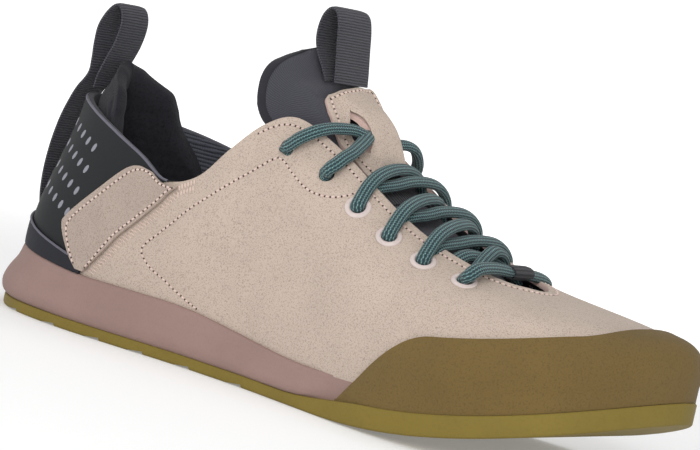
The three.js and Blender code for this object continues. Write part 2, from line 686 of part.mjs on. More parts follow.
// Suede patch that holds the laces on the tongue: its sides lie on the tongue and its
// middle stands over the laces, with a slot down each side where it rises
const patchRows = scaledRows(named(['x', 'z', 'halfWidth', 'drop'], [
  [-0.0455, 1.13, 0.3, 0.03],
  [-0.026, 1.105, 0.3, 0.04],
  [-0.002, 1.062, 0.3, 0.05],
  [0.019, 1.0, 0.3, 0.05],
  [0.036, 0.93, 0.3, 0.05],
  [0.05, 0.858, 0.31, 0.06],
]));
const patchSeat = keeperPatchThickness + 2 * clearance;
const patchRise = { from: 0.4, to: 0.66 }; // shares of the half width where the middle rises
const slotLength = 17;
const slotWidth = 5.4;
const slotDepth = 16;
const slotTurn = 0.87; // lean of the slot's through direction from upright, in radians
function buildKeeperPatch() {
  const { front, back } = stripLayers([...patchRows].reverse(), keeperPatchThickness, 10);
  const seated = (point, height) => {
    const turn = Math.abs(point.y) / (keeperPatchWidth / 2);
    const mark = tongueMark((line) => Math.hypot(line.x - point.x, line.z - point.z));
    return point.clone().lerp(overTongueMark(mark, point.y, height), smooth(patchRise.from, patchRise.to, turn));
  };
  front.forEach((outer, i) => {
    front[i] = outer.map((point) => seated(point, patchSeat));
    back[i] = back[i].map((point) => seated(point, patchSeat - keeperPatchThickness));
  });
  let solid = toSolid(layered(front, back, false));
  const middle = patchRows[2].z * 0.4 + patchRows[3].z * 0.6;
  const middleX = patchRows[2].x * 0.4 + patchRows[3].x * 0.6;
  for (const side of [-1, 1]) {
    const slot = new THREE.CylinderGeometry(slotWidth / 2, slotWidth / 2, slotDepth, 10);
    slot.scale(slotLength / slotWidth, 1, 1);
    slot.rotateZ(-slotTurn);
    slot.translate(middleX, side * keeperPatchWidth / 2 * (patchRise.from + patchRise.to) / 2, middle);
    solid = solid.subtract(toSolid(slot));
  }
  for (const strand of crossingStrands(5)) {
    solid = solid.subtract(toSolid(tubeGeometry(strand, laceDiameter + 2 * clearance)));
  }
  addPiece('tongue_keeper', fromSolid(solid), 'suede');
}

// Webbing along a line in the XZ plane, standing across the shoe
function webbingGeometry(points, width, thickness, steps) {
  const line = new THREE.CatmullRomCurve3(
    points.map(([x, z]) => new THREE.Vector3(x, 0, z)), false, 'centripetal');
  const front = [];
  const back = [];
  for (const y of [width / 2, -width / 2]) {
    const outer = [];
    const inner = [];
    for (let j = 0; j <= steps; j += 1) {
      const centre = line.getPointAt(j / steps);
      const ahead = line.getTangentAt(j / steps);
      const normal = new THREE.Vector3(-ahead.z, 0, ahead.x);
      centre.y = y;
      outer.push(centre.clone().addScaledVector(normal, thickness / 2));
      inner.push(centre.clone().addScaledVector(normal, -thickness / 2));
    }
    front.push(outer);
    back.push(inner);
  }
  return layered(front, back, false);
}
const inShoe = (rows) => rows.map(([x, z]) => [x * shoeLength, z * instepHeight]);
// Heel strap, sewn at the counter, free behind the sling, up into a loop and back inside
const heelStrapLine = inShoe([
  [-0.4812, 0.4], [-0.4848, 0.465], [-0.4843, 0.55], [-0.4785, 0.65], [-0.4675, 0.76],
  [-0.4565, 0.84], [-0.4505, 0.885], [-0.4462, 0.925], [-0.444, 0.965], [-0.445, 1.02], [-0.446, 1.085],
  [-0.4445, 1.15], [-0.434, 1.212], [-0.421, 1.244], [-0.411, 1.222], [-0.4075, 1.17],
  [-0.412, 1.095], [-0.422, 1.02], [-0.43, 0.95], [-0.432, 0.905],
]);
function buildHeelStrap() {
  const geometry = webbingGeometry(heelStrapLine, heelWebbingWidth, webbingThickness, 46);
  addPiece('heel_strap', geometry, 'webbing');
}
const tongueLoopLine = inShoe([
  [-0.0455, 1.15], [-0.048, 1.2], [-0.053, 1.28], [-0.0575, 1.355], [-0.0635, 1.404],
  [-0.0735, 1.42], [-0.083, 1.392], [-0.0872, 1.343], [-0.0862, 1.29],
  [-0.079, 1.24], [-0.0685, 1.195], [-0.0595, 1.1505],
]);
function buildTongueLoop() {
  const geometry = webbingGeometry(tongueLoopLine, tongueWebbingWidth, webbingThickness, 30);
  addPiece('tongue_pull_loop', geometry, 'webbing');
}

// Eyelets: a flanged ring on the suede over each of the four lower holes of a side
const ringedHoles = 4;
function holeFrame(side, number) {
  const s = laceStation(side, number);
  const share = 1 - eyeletInset / wallLine(s).total;
  const point = skin(s, share);
  const normal = skin(s, share, 1).sub(point).normalize();
  return { s, share, point, normal };
}
function buildEyelets() {
  const outer = eyeletDiameter / 2;
  const bore = holeDiameter / 2 - 0.4;
  const barrelWall = 0.35;
  const profile = [
    [bore - barrelWall, -eyeletSeat], [bore, -eyeletSeat], [bore, 0], [outer, 0],
    [outer - 0.7, eyeletFlange], [bore - barrelWall, eyeletFlange * 0.5], [bore - barrelWall, -eyeletSeat],
  ].map(([x, y]) => new THREE.Vector2(x, y));
  for (const side of ['lateral', 'medial']) {
    for (let number = 1; number <= ringedHoles; number += 1) {
      const { point, normal } = holeFrame(side, number);
      const ring = addPiece(`eyelet_${side}_${number}`, new THREE.LatheGeometry(profile, 10), 'eyelet');
      ring.position.copy(point).addScaledVector(normal, eyeletSeat);
      ring.quaternion.setFromUnitVectors(new THREE.Vector3(0, 1, 0), normal);
    }
  }
}

// Lacing: a bar across the throat's front, then a crossing between each pair of holes.
// A strand leaves its own hole over the throat's edge and dips under the far edge;
// in the first gap both run under, in the last both run over and into the holes.
function tubeGeometry(points, diameter) {
  const outline = new THREE.Shape();
  const sides = 6;
  for (let i = 0; i < sides; i += 1) {
    const turn = 2 * Math.PI * i / sides;
    const x = diameter / 2 * Math.cos(turn);
    const y = diameter / 2 * Math.sin(turn);
    if (i === 0) outline.moveTo(x, y);
    else outline.lineTo(x, y);
  }
  outline.closePath();
  const path = new THREE.CatmullRomCurve3(points, false, 'centripetal');
  const steps = points.length + 3;
  return new THREE.ExtrudeGeometry(outline, { steps, bevelEnabled: false, extrudePath: path });
}
const laceRadius = laceDiameter / 2;
function overHole(side, number) {
  const { s, point, normal } = holeFrame(side, number);
  const toEdge = openingEdge(s).sub(point).normalize();
  const lift = eyeletSeat + eyeletFlange + clearance;
  const above = (height, ahead) =>
    point.clone().addScaledVector(normal, lift + height * laceRadius).addScaledVector(toEdge, ahead * laceRadius);
  return [above(0, 0), above(0.55, 0.1), above(1.2, 1)];
}
function overEdge(side, place, lift = 0) {
  const s = side === 'lateral' ? place : stationCount - place;
  const edge = openingEdge(s);
  const outward = skin(s, 0.985, 1).sub(skin(s, 0.985)).normalize();
  return edge.addScaledVector(outward, laceRadius + 2.5 * clearance + lift);
}
function underEdge(side, place) {
  const s = side === 'lateral' ? place : stationCount - place;
  return skin(s, 0.96, -(upperWall + laceRadius + 3 * clearance));
}
const holePlace = (number) => station(`eyelet${number}`);
const strandLow = laceRadius + 2 * clearance;
function crossingStrands(gap) {
  const low = holePlace(gap);
  return ['lateral', 'medial'].map((side) => {
    const other = side === 'lateral' ? 'medial' : 'lateral';
    const sign = side === 'lateral' ? -1 : 1;
    const stacking = gap === 1 ? 0.3 : 0.7; // of a lace's diameter, joined where they cross
    const stacked = side === 'lateral' && gap < 5 ? laceDiameter * stacking : 0;
    const height = strandLow + stacked;
    const beside = 0.17 * halfBall;
    if (gap === 5) {
      const spread = 2; // from the crossing to each strand at the slots
      const crossX = patchRows[3].x - 1;
      const overBand = patchSeat + laceRadius + 3 * clearance;
      return [
        ...overHole(side, 6), overEdge(side, low - 0.62, 1.5),
        overTongue(crossX - 3 * spread, sign * keeperPatchWidth * 0.5, overBand + 3),
        overTongue(crossX - spread, sign * keeperPatchWidth * 0.24, height + 0.9),
        overTongue(crossX, 0, height + 0.3),
        overTongue(crossX + spread, -sign * keeperPatchWidth * 0.24, height + 0.9),
        overTongue(crossX, -sign * keeperPatchWidth * 0.5, overBand + 3.4),
        overEdge(other, low + 0.1, 2.2), ...overHole(other, 5).reverse(),
      ];
    }
    const isUnder = gap === 1;
    const middleX = openingEdge(low - (isUnder ? 0.42 : 0.06)).x;
    const slant = isUnder ? 2 : 1;
    const start = isUnder ? [underEdge(side, low - 0.3)] : [...overHole(side, gap), overEdge(side, low + 0.06, 0.5)];
    return [
      ...start, overTongue(middleX + slant, sign * beside, height), overTongue(middleX, 0, height),
      overTongue(middleX - slant, -sign * beside, strandLow + 0.35 * stacked),
      underEdge(other, low - (isUnder ? 0.58 : 0.24)),
    ];
  });
}
// Ribbed webbing bent over the bar at the throat's front, its legs down to the tongue
const laceKeeperY = -1;
function buildLaceKeeper(bar) {
  const path = new THREE.CatmullRomCurve3(bar, false, 'centripetal').getPoints(200);
  const middle = path.reduce((best, point) =>
    (Math.abs(point.y - laceKeeperY) < Math.abs(best.y - laceKeeperY) ? point : best));
  const reach = laceRadius + webbingThickness / 2 + 4 * clearance;
  const line = [
    [-1.1, -1.5], [-1.05, -0.7], [-1, 0], [-0.72, 0.76], [0, 1.05], [0.76, 0.74], [1.05, 0], [1.25, -0.6],
  ].map(([x, z]) => [middle.x + x * reach, middle.z + z * reach]);
  const geometry = webbingGeometry(line, laceKeeperWidth, webbingThickness, 14);
  geometry.translate(0, laceKeeperY, 0);
  addPiece('lace_keeper', geometry, 'webbing');
}
function buildLaces() {
  const front = holePlace(1) + 1.2;
  const bar = [
    ...overHole('lateral', 1), overEdge('lateral', front - 0.35),
    overEdge('lateral', front).lerp(overEdge('medial', front), 0.5).add(new THREE.Vector3(0, 0, 1.5)),
    overEdge('medial', front - 0.55), ...overHole('medial', 1).reverse(),
  ];
  addPiece('lace_bar', tubeGeometry(bar, laceDiameter), 'lace');
  buildLaceKeeper(bar);
  for (let gap = 1; gap < eyeletNames.length; gap += 1) {
    const [first, second] = crossingStrands(gap);
    const joined = toSolid(tubeGeometry(first, laceDiameter)).add(toSolid(tubeGeometry(second, laceDiameter)));
    addPiece(`lace_crossing_${gap}`, fromSolid(joined), 'lace');
  }
}

buildOutsole();
buildMidsole();
buildInsole();
buildUpper();
buildRand();
buildCounter();
buildHeelFlap('lateral');
buildHeelFlap('medial');
buildHeelPad();
buildTongue();
buildKeeperPatch();
buildHeelStrap();
buildTongueLoop();
buildEyelets();
buildLaces();

// The origin is at the middle of the shoe's plan, on the floor
shoe.updateMatrixWorld(true);
const reachBox = new THREE.Box3().setFromObject(shoe, true);
const planMiddle = reachBox.getCenter(new THREE.Vector3());
shoe.position.set(-planMiddle.x, -planMiddle.y, 0);

export default shoe;
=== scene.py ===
# Looks of the approach shoe, right foot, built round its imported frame
import bpy
import math
import numpy as np
from mathutils import Matrix, Vector
from mathutils.bvhtree import BVHTree


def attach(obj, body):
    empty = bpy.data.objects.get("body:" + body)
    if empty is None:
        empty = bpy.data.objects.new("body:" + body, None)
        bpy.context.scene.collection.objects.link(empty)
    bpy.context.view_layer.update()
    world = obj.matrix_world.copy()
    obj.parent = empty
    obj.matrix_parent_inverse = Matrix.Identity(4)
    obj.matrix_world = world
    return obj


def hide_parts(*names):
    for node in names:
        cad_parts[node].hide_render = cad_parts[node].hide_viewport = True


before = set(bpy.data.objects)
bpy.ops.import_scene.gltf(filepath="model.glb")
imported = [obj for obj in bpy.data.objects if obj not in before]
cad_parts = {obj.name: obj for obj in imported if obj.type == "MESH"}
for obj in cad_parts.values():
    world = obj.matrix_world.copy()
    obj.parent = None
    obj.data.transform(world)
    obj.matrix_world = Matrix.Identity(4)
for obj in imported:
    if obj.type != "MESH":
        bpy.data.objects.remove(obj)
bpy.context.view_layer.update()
mm = 0.001

# Sizes of the shoe in millimetres, as its solids have them
shoe = {
    "length": 271.5,
    "ballWidth": 97,
    "instepHeight": 92,
    "toeSpring": 24.5,
    "springFrom": 0.594,
    "outsoleHeel": 4,
    "outsoleToe": 7.6,
    "midsoleHeel": 20,
    "midsoleToe": 14.2,
    "heelCupLift": 4.5,
    "wall": 2.2,
    "featherInset": 3.2,
    "heelFeatherInset": 5,
    "eyeletInset": 11,
    "holeDiameter": 5.4,
    "planShift": (0.775, -0.662, 0.0),
}
halfBall = shoe["ballWidth"] / 2
planShift = np.array(shoe["planShift"])


# Camera, as the photograph was taken
camera = {
    "azimuth": 33.6178,
    "elevation": 4.9234,
    "roll": 12.332,
    "place": (555.204, -835.082, 145.508),
    "lens": 150.69,
}


def addCamera():
    turn = math.radians(camera["azimuth"])
    rise = math.radians(camera["elevation"])
    roll = math.radians(camera["roll"])
    right = Vector((math.cos(turn), math.sin(turn), 0))
    up = Vector((-math.sin(turn) * math.sin(rise), math.cos(turn) * math.sin(rise), math.cos(rise)))
    back = right.cross(up)
    deselectAll()
    bpy.ops.object.camera_add(location=Vector(camera["place"]) * mm)
    cameraPiece = bpy.context.object
    cameraPiece.name = "viewCamera"
    across = right * math.cos(roll) + up * math.sin(roll)
    upward = up * math.cos(roll) - right * math.sin(roll)
    axes = [[across[i], upward[i], back[i]] for i in range(3)]
    cameraPiece.matrix_world = matrixFrom(axes, Vector(camera["place"]) * mm)
    cameraPiece.data.lens = camera["lens"]
    cameraPiece.data.sensor_width = 36
    cameraPiece.data.clip_start = 0.05
    cameraPiece.data.clip_end = 60
    bpy.context.scene.camera = cameraPiece


def matrixFrom(axes, place):
    rows = [[*axes[i], place[i]] for i in range(3)]
    rows.append([0, 0, 0, 1])
    return Matrix(rows)


# Hand tools
def deselectAll():
    if bpy.context.mode != "OBJECT":
        bpy.ops.object.mode_set(mode="OBJECT")
    bpy.ops.object.select_all(action="DESELECT")


def activate(piece):
    deselectAll()
    piece.select_set(True)
    bpy.context.view_layer.objects.active = piece


def applyModifier(piece, kind, **settings):
    activate(piece)
    modifier = piece.modifiers.new(kind.lower(), kind)
    for key, value in settings.items():
        setattr(modifier, key, value)
    bpy.ops.object.modifier_apply(modifier=modifier.name)


def mergePoints(piece, distance=0.02):
    activate(piece)
    bpy.ops.object.mode_set(mode="EDIT")
    bpy.ops.mesh.select_all(action="SELECT")
    bpy.ops.mesh.remove_doubles(threshold=distance * mm)
    bpy.ops.mesh.dissolve_degenerate(threshold=0.0005 * mm)
    bpy.ops.object.mode_set(mode="OBJECT")


def turnFacesOut(piece):
    activate(piece)
    bpy.ops.object.mode_set(mode="EDIT")
    bpy.ops.mesh.select_all(action="SELECT")
    bpy.ops.mesh.normals_make_consistent(inside=False)
    bpy.ops.object.mode_set(mode="OBJECT")


def fillEnds(piece):
    activate(piece)
    bpy.ops.object.mode_set(mode="EDIT")
    bpy.ops.mesh.select_all(action="SELECT")
    bpy.ops.mesh.fill_holes(sides=0)
    bpy.ops.object.mode_set(mode="OBJECT")


def smoothFaces(piece, angle=40):
    activate(piece)
    bpy.ops.object.shade_smooth_by_angle(angle=math.radians(angle))


def joinPieces(pieces, name):
    deselectAll()
    for piece in pieces:
        piece.select_set(True)
    bpy.context.view_layer.objects.active = pieces[0]
    if len(pieces) > 1:
        bpy.ops.object.join()
    joined = bpy.context.object
    joined.name = name
    joined.data.name = name
    return joined


def pointsOf(piece):
    flat = np.empty(len(piece.data.vertices) * 3)
    piece.data.vertices.foreach_get("co", flat)
    return flat.reshape(-1, 3) / mm


def setPoints(piece, points):
    piece.data.vertices.foreach_set("co", (points * mm).ravel())
    piece.data.update()


# A grid laid on points[column][row], in millimetres, with its UV map in millimetres too
def layGrid(name, points, uvs=None, facing=None):
    columns, rows = points.shape[:2]
    deselectAll()
    bpy.ops.mesh.primitive_grid_add(x_subdivisions=columns - 1, y_subdivisions=rows - 1, size=1)
    piece = bpy.context.object
    piece.name = name
    piece.data.name = name
    flat = np.empty(len(piece.data.vertices) * 3)
    piece.data.vertices.foreach_get("co", flat)
    plain = flat.reshape(-1, 3)
    column = np.rint((plain[:, 0] + 0.5) * (columns - 1)).astype(int)
    row = np.rint((plain[:, 1] + 0.5) * (rows - 1)).astype(int)
    setPoints(piece, points[column, row])
    if uvs is None:
        uvs = spreadOf(points)
    corners = np.empty(len(piece.data.loops), int)
    piece.data.loops.foreach_get("vertex_index", corners)
    layer = piece.data.uv_layers[0]
    layer.data.foreach_set("uv", uvs[column[corners], row[corners]].ravel())
    if facing is not None:
        normals = np.empty(len(piece.data.polygons) * 3)
        piece.data.polygons.foreach_get("normal", normals)
        centres = np.empty(len(piece.data.polygons) * 3)
        piece.data.polygons.foreach_get("center", centres)
        outward = facing(centres.reshape(-1, 3) / mm)
        if (normals.reshape(-1, 3) * outward).sum() < 0:
            activate(piece)
            bpy.ops.object.mode_set(mode="EDIT")
            bpy.ops.mesh.select_all(action="SELECT")
            bpy.ops.mesh.flip_normals()
            bpy.ops.object.mode_set(mode="OBJECT")
    return piece


def spreadOf(points):
    across = np.linalg.norm(np.diff(points, axis=0), axis=2).mean(axis=1)
    along = np.linalg.norm(np.diff(points, axis=1), axis=2).mean(axis=0)
    u = np.concatenate([[0], np.cumsum(across)])
    v = np.concatenate([[0], np.cumsum(along)])
    return np.stack(np.meshgrid(u, v, indexing="ij"), axis=2)


def unit(vectors):
    return vectors / np.maximum(np.linalg.norm(vectors, axis=-1, keepdims=True), 1e-12)


def smoothStep(start, end, value):
    part = np.clip((value - start) / (end - start), 0, 1)
    return part * part * (3 - 2 * part)


def mix(a, b, part):
    return a + (b - a) * part


# Curves through points: closed ones by station, open ones by share of the points
def splineAt(points, place, closed):
    count = len(points)
    if closed:
        place = np.mod(place, count)
        first = np.floor(place).astype(int)
        picks = [(first + k) % count for k in (-1, 0, 1, 2)]
        p0, p1, p2, p3 = (points[k] for k in picks)
    else:
        place = np.clip(place, 0, count - 1)
        first = np.minimum(np.floor(place).astype(int), count - 2)
        before = 2 * points[0] - points[1]
        after = 2 * points[-1] - points[-2]
        full = np.concatenate([[before], points, [after]])
        p0, p1, p2, p3 = (full[first + k] for k in (0, 1, 2, 3))
    part = (place - first)[..., None]
    t0 = 0.5 * (p2 - p0)
    t1 = 0.5 * (p3 - p1)
    curve = p1 + t0 * part + (3 * (p2 - p1) - 2 * t0 - t1) * part**2
    return curve + (2 * (p1 - p2) + t0 + t1) * part**3


# Points of an open curve spaced evenly along it
def evenCurve(points, spacing=None, count=None):
    points = np.asarray(points, float)
    fine = splineAt(points, np.linspace(0, len(points) - 1, 60 * len(points)), False)
    lengths = np.concatenate([[0], np.cumsum(np.linalg.norm(np.diff(fine, axis=0), axis=1))])
    if count is None:
        count = max(3, int(round(lengths[-1] / spacing)) + 1)
    wanted = np.linspace(0, lengths[-1], count)
    return np.stack([np.interp(wanted, lengths, fine[:, k]) for k in range(fine.shape[1])], axis=1)


# The shoe's sections: sole edge, wall form and opening edge, from the heel to the toe
sections = [
    (-0.5, 0, -0.5, 0, -0.02, 0.35, 0.02, 0.37, -0.446, 0, 0.88, -0.446, 0, 0.88),
    (-0.478, 0.361, -0.478, 0.361, 0.01, 0.35, 0.04, 0.36, -0.429, 0.21, 0.868, -0.429, 0.21, 0.868),
    (-0.424, 0.601, -0.424, 0.601, 0.04, 0.34, 0.07, 0.35, -0.384, 0.385, 0.83, -0.384, 0.385, 0.83),
    (-0.341, 0.711, -0.341, 0.691, 0.05, 0.34, 0.08, 0.34, -0.322, 0.52, 0.775, -0.322, 0.52, 0.8),
    (-0.259, 0.728, -0.263, 0.65, 0.04, 0.34, 0.07, 0.32, -0.266, 0.592, 0.72, -0.266, 0.592, 0.765),
    (-0.185, 0.711, -0.193, 0.598, 0.03, 0.34, 0.06, 0.3, -0.216, 0.625, 0.656, -0.216, 0.622, 0.717),
    (-0.133, 0.705, -0.137, 0.567, 0.03, 0.36, 0.08, 0.3, -0.168, 0.63, 0.702, -0.167, 0.622, 0.765),
    (-0.085, 0.72, -0.085, 0.557, 0.03, 0.38, 0.11, 0.28, -0.13, 0.6, 0.835, -0.131, 0.6, 0.87),
    (-0.041, 0.737, -0.041, 0.57, 0.03, 0.4, 0.14, 0.25, -0.094, 0.54, 0.951, -0.097, 0.548, 0.968),
    (0, 0.77, 0.009, 0.603, 0.02, 0.42, 0.18, 0.22, -0.055, 0.46, 1, -0.063, 0.48, 1.0),
    (0.055, 0.825, 0.061, 0.69, 0.03, 0.45, 0.23, 0.18, 0.009, 0.397, 0.926, 0.004, 0.425, 0.924),
    (0.106, 0.877, 0.117, 0.797, 0.04, 0.48, 0.27, 0.18, 0.066, 0.372, 0.829, 0.063, 0.41, 0.832),
    (0.158, 0.933, 0.172, 0.907, 0.06, 0.52, 0.3, 0.17, 0.12, 0.353, 0.742, 0.116, 0.4, 0.75),
    (0.211, 0.972, 0.233, 0.985, 0.08, 0.56, 0.33, 0.18, 0.172, 0.324, 0.678, 0.168, 0.384, 0.684),
    (0.274, 0.967, 0.3, 0.998, 0.1, 0.62, 0.36, 0.19, 0.224, 0.274, 0.634, 0.218, 0.352, 0.638),
    (0.35, 0.84, 0.376, 0.91, 0.1, 0.72, 0.44, 0.19, 0.261, 0.182, 0.61, 0.254, 0.288, 0.62),
    (0.419, 0.608, 0.444, 0.711, 0.1, 0.82, 0.54, 0.24, 0.281, 0.085, 0.604, 0.275, 0.215, 0.612),
    (0.472, 0.289, 0.487, 0.464, 0.1, 0.9, 0.62, 0.27, 0.289, 0.005, 0.6, 0.287, 0.135, 0.602),
    (0.5, -0.144, 0.5, 0.144, 0.11, 0.94, 0.66, 0.29, 0.291, -0.065, 0.6, 0.291, 0.065, 0.6),
]
sectionNames = [
    "heelBack", "heelTurn", "heelSide", "heelFront", "ankleBack", "ankle", "ankleFront", "flapRise",
    "flapTop",
    "eyelet6", "eyelet5", "eyelet4", "eyelet3", "eyelet2", "eyelet1", "toeSide", "toeTurn", "toeFront",
    "toeTip",
]
table = np.array(sections, float)
medial = table[1:-1][::-1]
stationCount = len(table) + len(medial)
toeStation = len(table) - 1
length = shoe["length"]
instep = shoe["instepHeight"]
soleKnots = np.concatenate([
    np.stack([table[:, 0] * length, -table[:, 1] * halfBall, 0 * table[:, 0]], axis=1),
    np.stack([medial[:, 2] * length, medial[:, 3] * halfBall, 0 * medial[:, 0]], axis=1),
])
edgeKnots = np.concatenate([
    np.stack([table[:, 8] * length, -table[:, 9] * halfBall, table[:, 10] * instep], axis=1),
    np.stack([medial[:, 11] * length, medial[:, 12] * halfBall, medial[:, 13] * instep], axis=1),
])
formKnots = np.concatenate([table[:, 4:8], medial[:, 4:8]])


def station(name):
    return sectionNames.index(name)


def solePlan(s):
    return splineAt(soleKnots, np.asarray(s, float), True)


def soleNormal(s):
    ahead = solePlan(np.asarray(s) + 0.02) - solePlan(np.asarray(s) - 0.02)
    return unit(np.stack([ahead[..., 1], -ahead[..., 0], 0 * ahead[..., 0]], axis=-1))


def shareOf(x):
    return np.clip(x / length + 0.5, 0, 1)


def liftAt(x):
    ahead = np.maximum(0, shareOf(x) - shoe["springFrom"])
    return shoe["toeSpring"] * (ahead / (1 - shoe["springFrom"])) ** 2


def outsoleTop(x):
    return liftAt(x) + mix(shoe["outsoleHeel"], shoe["outsoleToe"], smoothStep(0.54, 0.69, shareOf(x)))


def midsoleTop(x):
    cup = shoe["heelCupLift"] * np.maximum(0, 1 - shareOf(x) / 0.2) ** 1.5
    return liftAt(x) + cup + mix(shoe["midsoleHeel"], shoe["midsoleToe"], smoothStep(0.32, 0.57, shareOf(x)))


def insetAt(share):
    return mix(shoe["heelFeatherInset"], shoe["featherInset"], smoothStep(0, 0.2, share))


def soleEdge(s, inset, z):
    point = solePlan(s) - soleNormal(s) * np.asarray(inset)[..., None]
    point[..., 2] = z
    return point


lineSteps = 80


def wallLines(s):
    s = np.asarray(s, float)
    form = splineAt(formKnots, s, True)
    normal = soleNormal(s)
    edge = splineAt(edgeKnots, s, True)
    foot = soleEdge(s, insetAt(shareOf(solePlan(s)[..., 0])), 0)
    foot[..., 2] = midsoleTop(foot[..., 0]) + 0.3
    height = edge[..., 2] - foot[..., 2]
    low = foot + normal * (form[..., 0] * halfBall)[..., None]
    low[..., 2] += form[..., 1] * height
    high = edge + normal * (form[..., 2] * halfBall)[..., None]
    high[..., 2] -= form[..., 3] * height
    t = np.linspace(0, 1, lineSteps + 1)[:, None]
    f, lo, hi, e = (p[..., None, :] for p in (foot, low, high, edge))
    points = f * (1 - t) ** 3 + 3 * lo * t * (1 - t) ** 2 + 3 * hi * t**2 * (1 - t) + e * t**3
    steps = np.linalg.norm(np.diff(points, axis=-2), axis=-1)
    lengths = np.concatenate([np.zeros(steps.shape[:-1] + (1,)), np.cumsum(steps, axis=-1)], axis=-1)
    return points, lengths


def takeAt(values, index):
    return np.take_along_axis(values, index[..., None], axis=-1)[..., 0]


def alongLines(lines, distance):
    points, lengths = lines
    total = lengths[..., -1]
    wanted = np.clip(distance, 0, total)
    after = np.clip((lengths < wanted[..., None]).sum(axis=-1), 1, lineSteps)
    start = takeAt(lengths, after - 1)
    end = takeAt(lengths, after)
    part = ((wanted - start) / np.maximum(end - start, 1e-9))[..., None]
    a = np.take_along_axis(points, (after - 1)[..., None, None], axis=-2)[..., 0, :]
    b = np.take_along_axis(points, after[..., None, None], axis=-2)[..., 0, :]
    return a + (b - a) * part


def wallTotal(s):
    return wallLines(s)[1][..., -1]


# A point of the upper's face: share 0 at the sole and 1 at the opening, offset outward
def skin(s, share, offset=0.0, withNormal=False):
    s, share = np.broadcast_arrays(np.asarray(s, float), np.asarray(share, float))
    shape = s.shape
    s, share = s.ravel(), share.ravel()
    found, normals = [], []
    for start in range(0, len(s), 4000):
        part, level = s[start:start + 4000], share[start:start + 4000]
        lines = wallLines(part)
        total = lines[1][..., -1]
        found.append(alongLines(lines, level * total))
        after, before = wallLines(part + 0.04), wallLines(part - 0.04)
        turn = alongLines(after, level * after[1][..., -1]) - alongLines(before, level * before[1][..., -1])
        up = alongLines(lines, level * total + 1.2) - alongLines(lines, level * total - 1.2)
        normals.append(unit(np.cross(turn, up)))
    point = np.concatenate(found).reshape(shape + (3,))
    normal = np.concatenate(normals).reshape(shape + (3,))
    offset = np.asarray(offset, float)
    result = point + normal * (offset[..., None] if offset.ndim else offset) + planShift
    return (result, normal) if withNormal else result


def openingEdge(s):
    return splineAt(edgeKnots, np.asarray(s, float), True) + planShift


# Station and share of points of one side wall with these X and Z, in the centred frame
def onSide(side, x, z):
    sign = 1 if side == "lateral" else -1
    x, z = np.asarray(x, float), np.asarray(z, float)
    s = np.full(x.shape, float(sign * station("ankle")))
    share = np.full(x.shape, 0.5)
    for _ in range(60):
        point = skin(s, share)
        s = s + sign * 0.03 * (x - point[..., 0])
        share = share + 0.012 * (z - point[..., 2])
    return s, share


# Material tools
def srgb(red, green, blue):
    def linear(value):
        value = value / 255
        return value / 12.92 if value <= 0.04045 else ((value + 0.055) / 1.055) ** 2.4
    return (linear(red), linear(green), linear(blue), 1)


def newGroup(name, inputs, outputs):
    group = bpy.data.node_groups.new(name, "ShaderNodeTree")
    for socketName, kind, value in inputs:
        socket = group.interface.new_socket(name=socketName, in_out="INPUT", socket_type=kind)
        socket.default_value = value
    for socketName, kind in outputs:
        group.interface.new_socket(name=socketName, in_out="OUTPUT", socket_type=kind)
    start = group.nodes.new("NodeGroupInput")
    end = group.nodes.new("NodeGroupOutput")
    return group, start, end


def addNode(tree, kind, settings=None, values=None):
    node = tree.nodes.new(kind)
    for key, value in (settings or {}).items():
        setattr(node, key, value)
    for key, value in (values or {}).items():
        node.inputs[key].default_value = value
    return node


def mathNode(tree, operation, first, second=None, clamp=False):
    node = addNode(tree, "ShaderNodeMath", {"operation": operation, "use_clamp": clamp})
    for index, value in enumerate([first, second]):
        if value is None:
            continue
        if isinstance(value, (int, float)):
            node.inputs[index].default_value = value
        else:
            tree.links.new(value, node.inputs[index])
    return node.outputs[0]


def blendColours(tree, part, first, second, kind="MIX"):
    node = addNode(tree, "ShaderNodeMix", {"data_type": "RGBA", "blend_type": kind})
    for index, value in ((0, part), (6, first), (7, second)):
        if hasattr(value, "links"):
            tree.links.new(value, node.inputs[index])
        else:
            node.inputs[index].default_value = value
    return node.outputs[2]


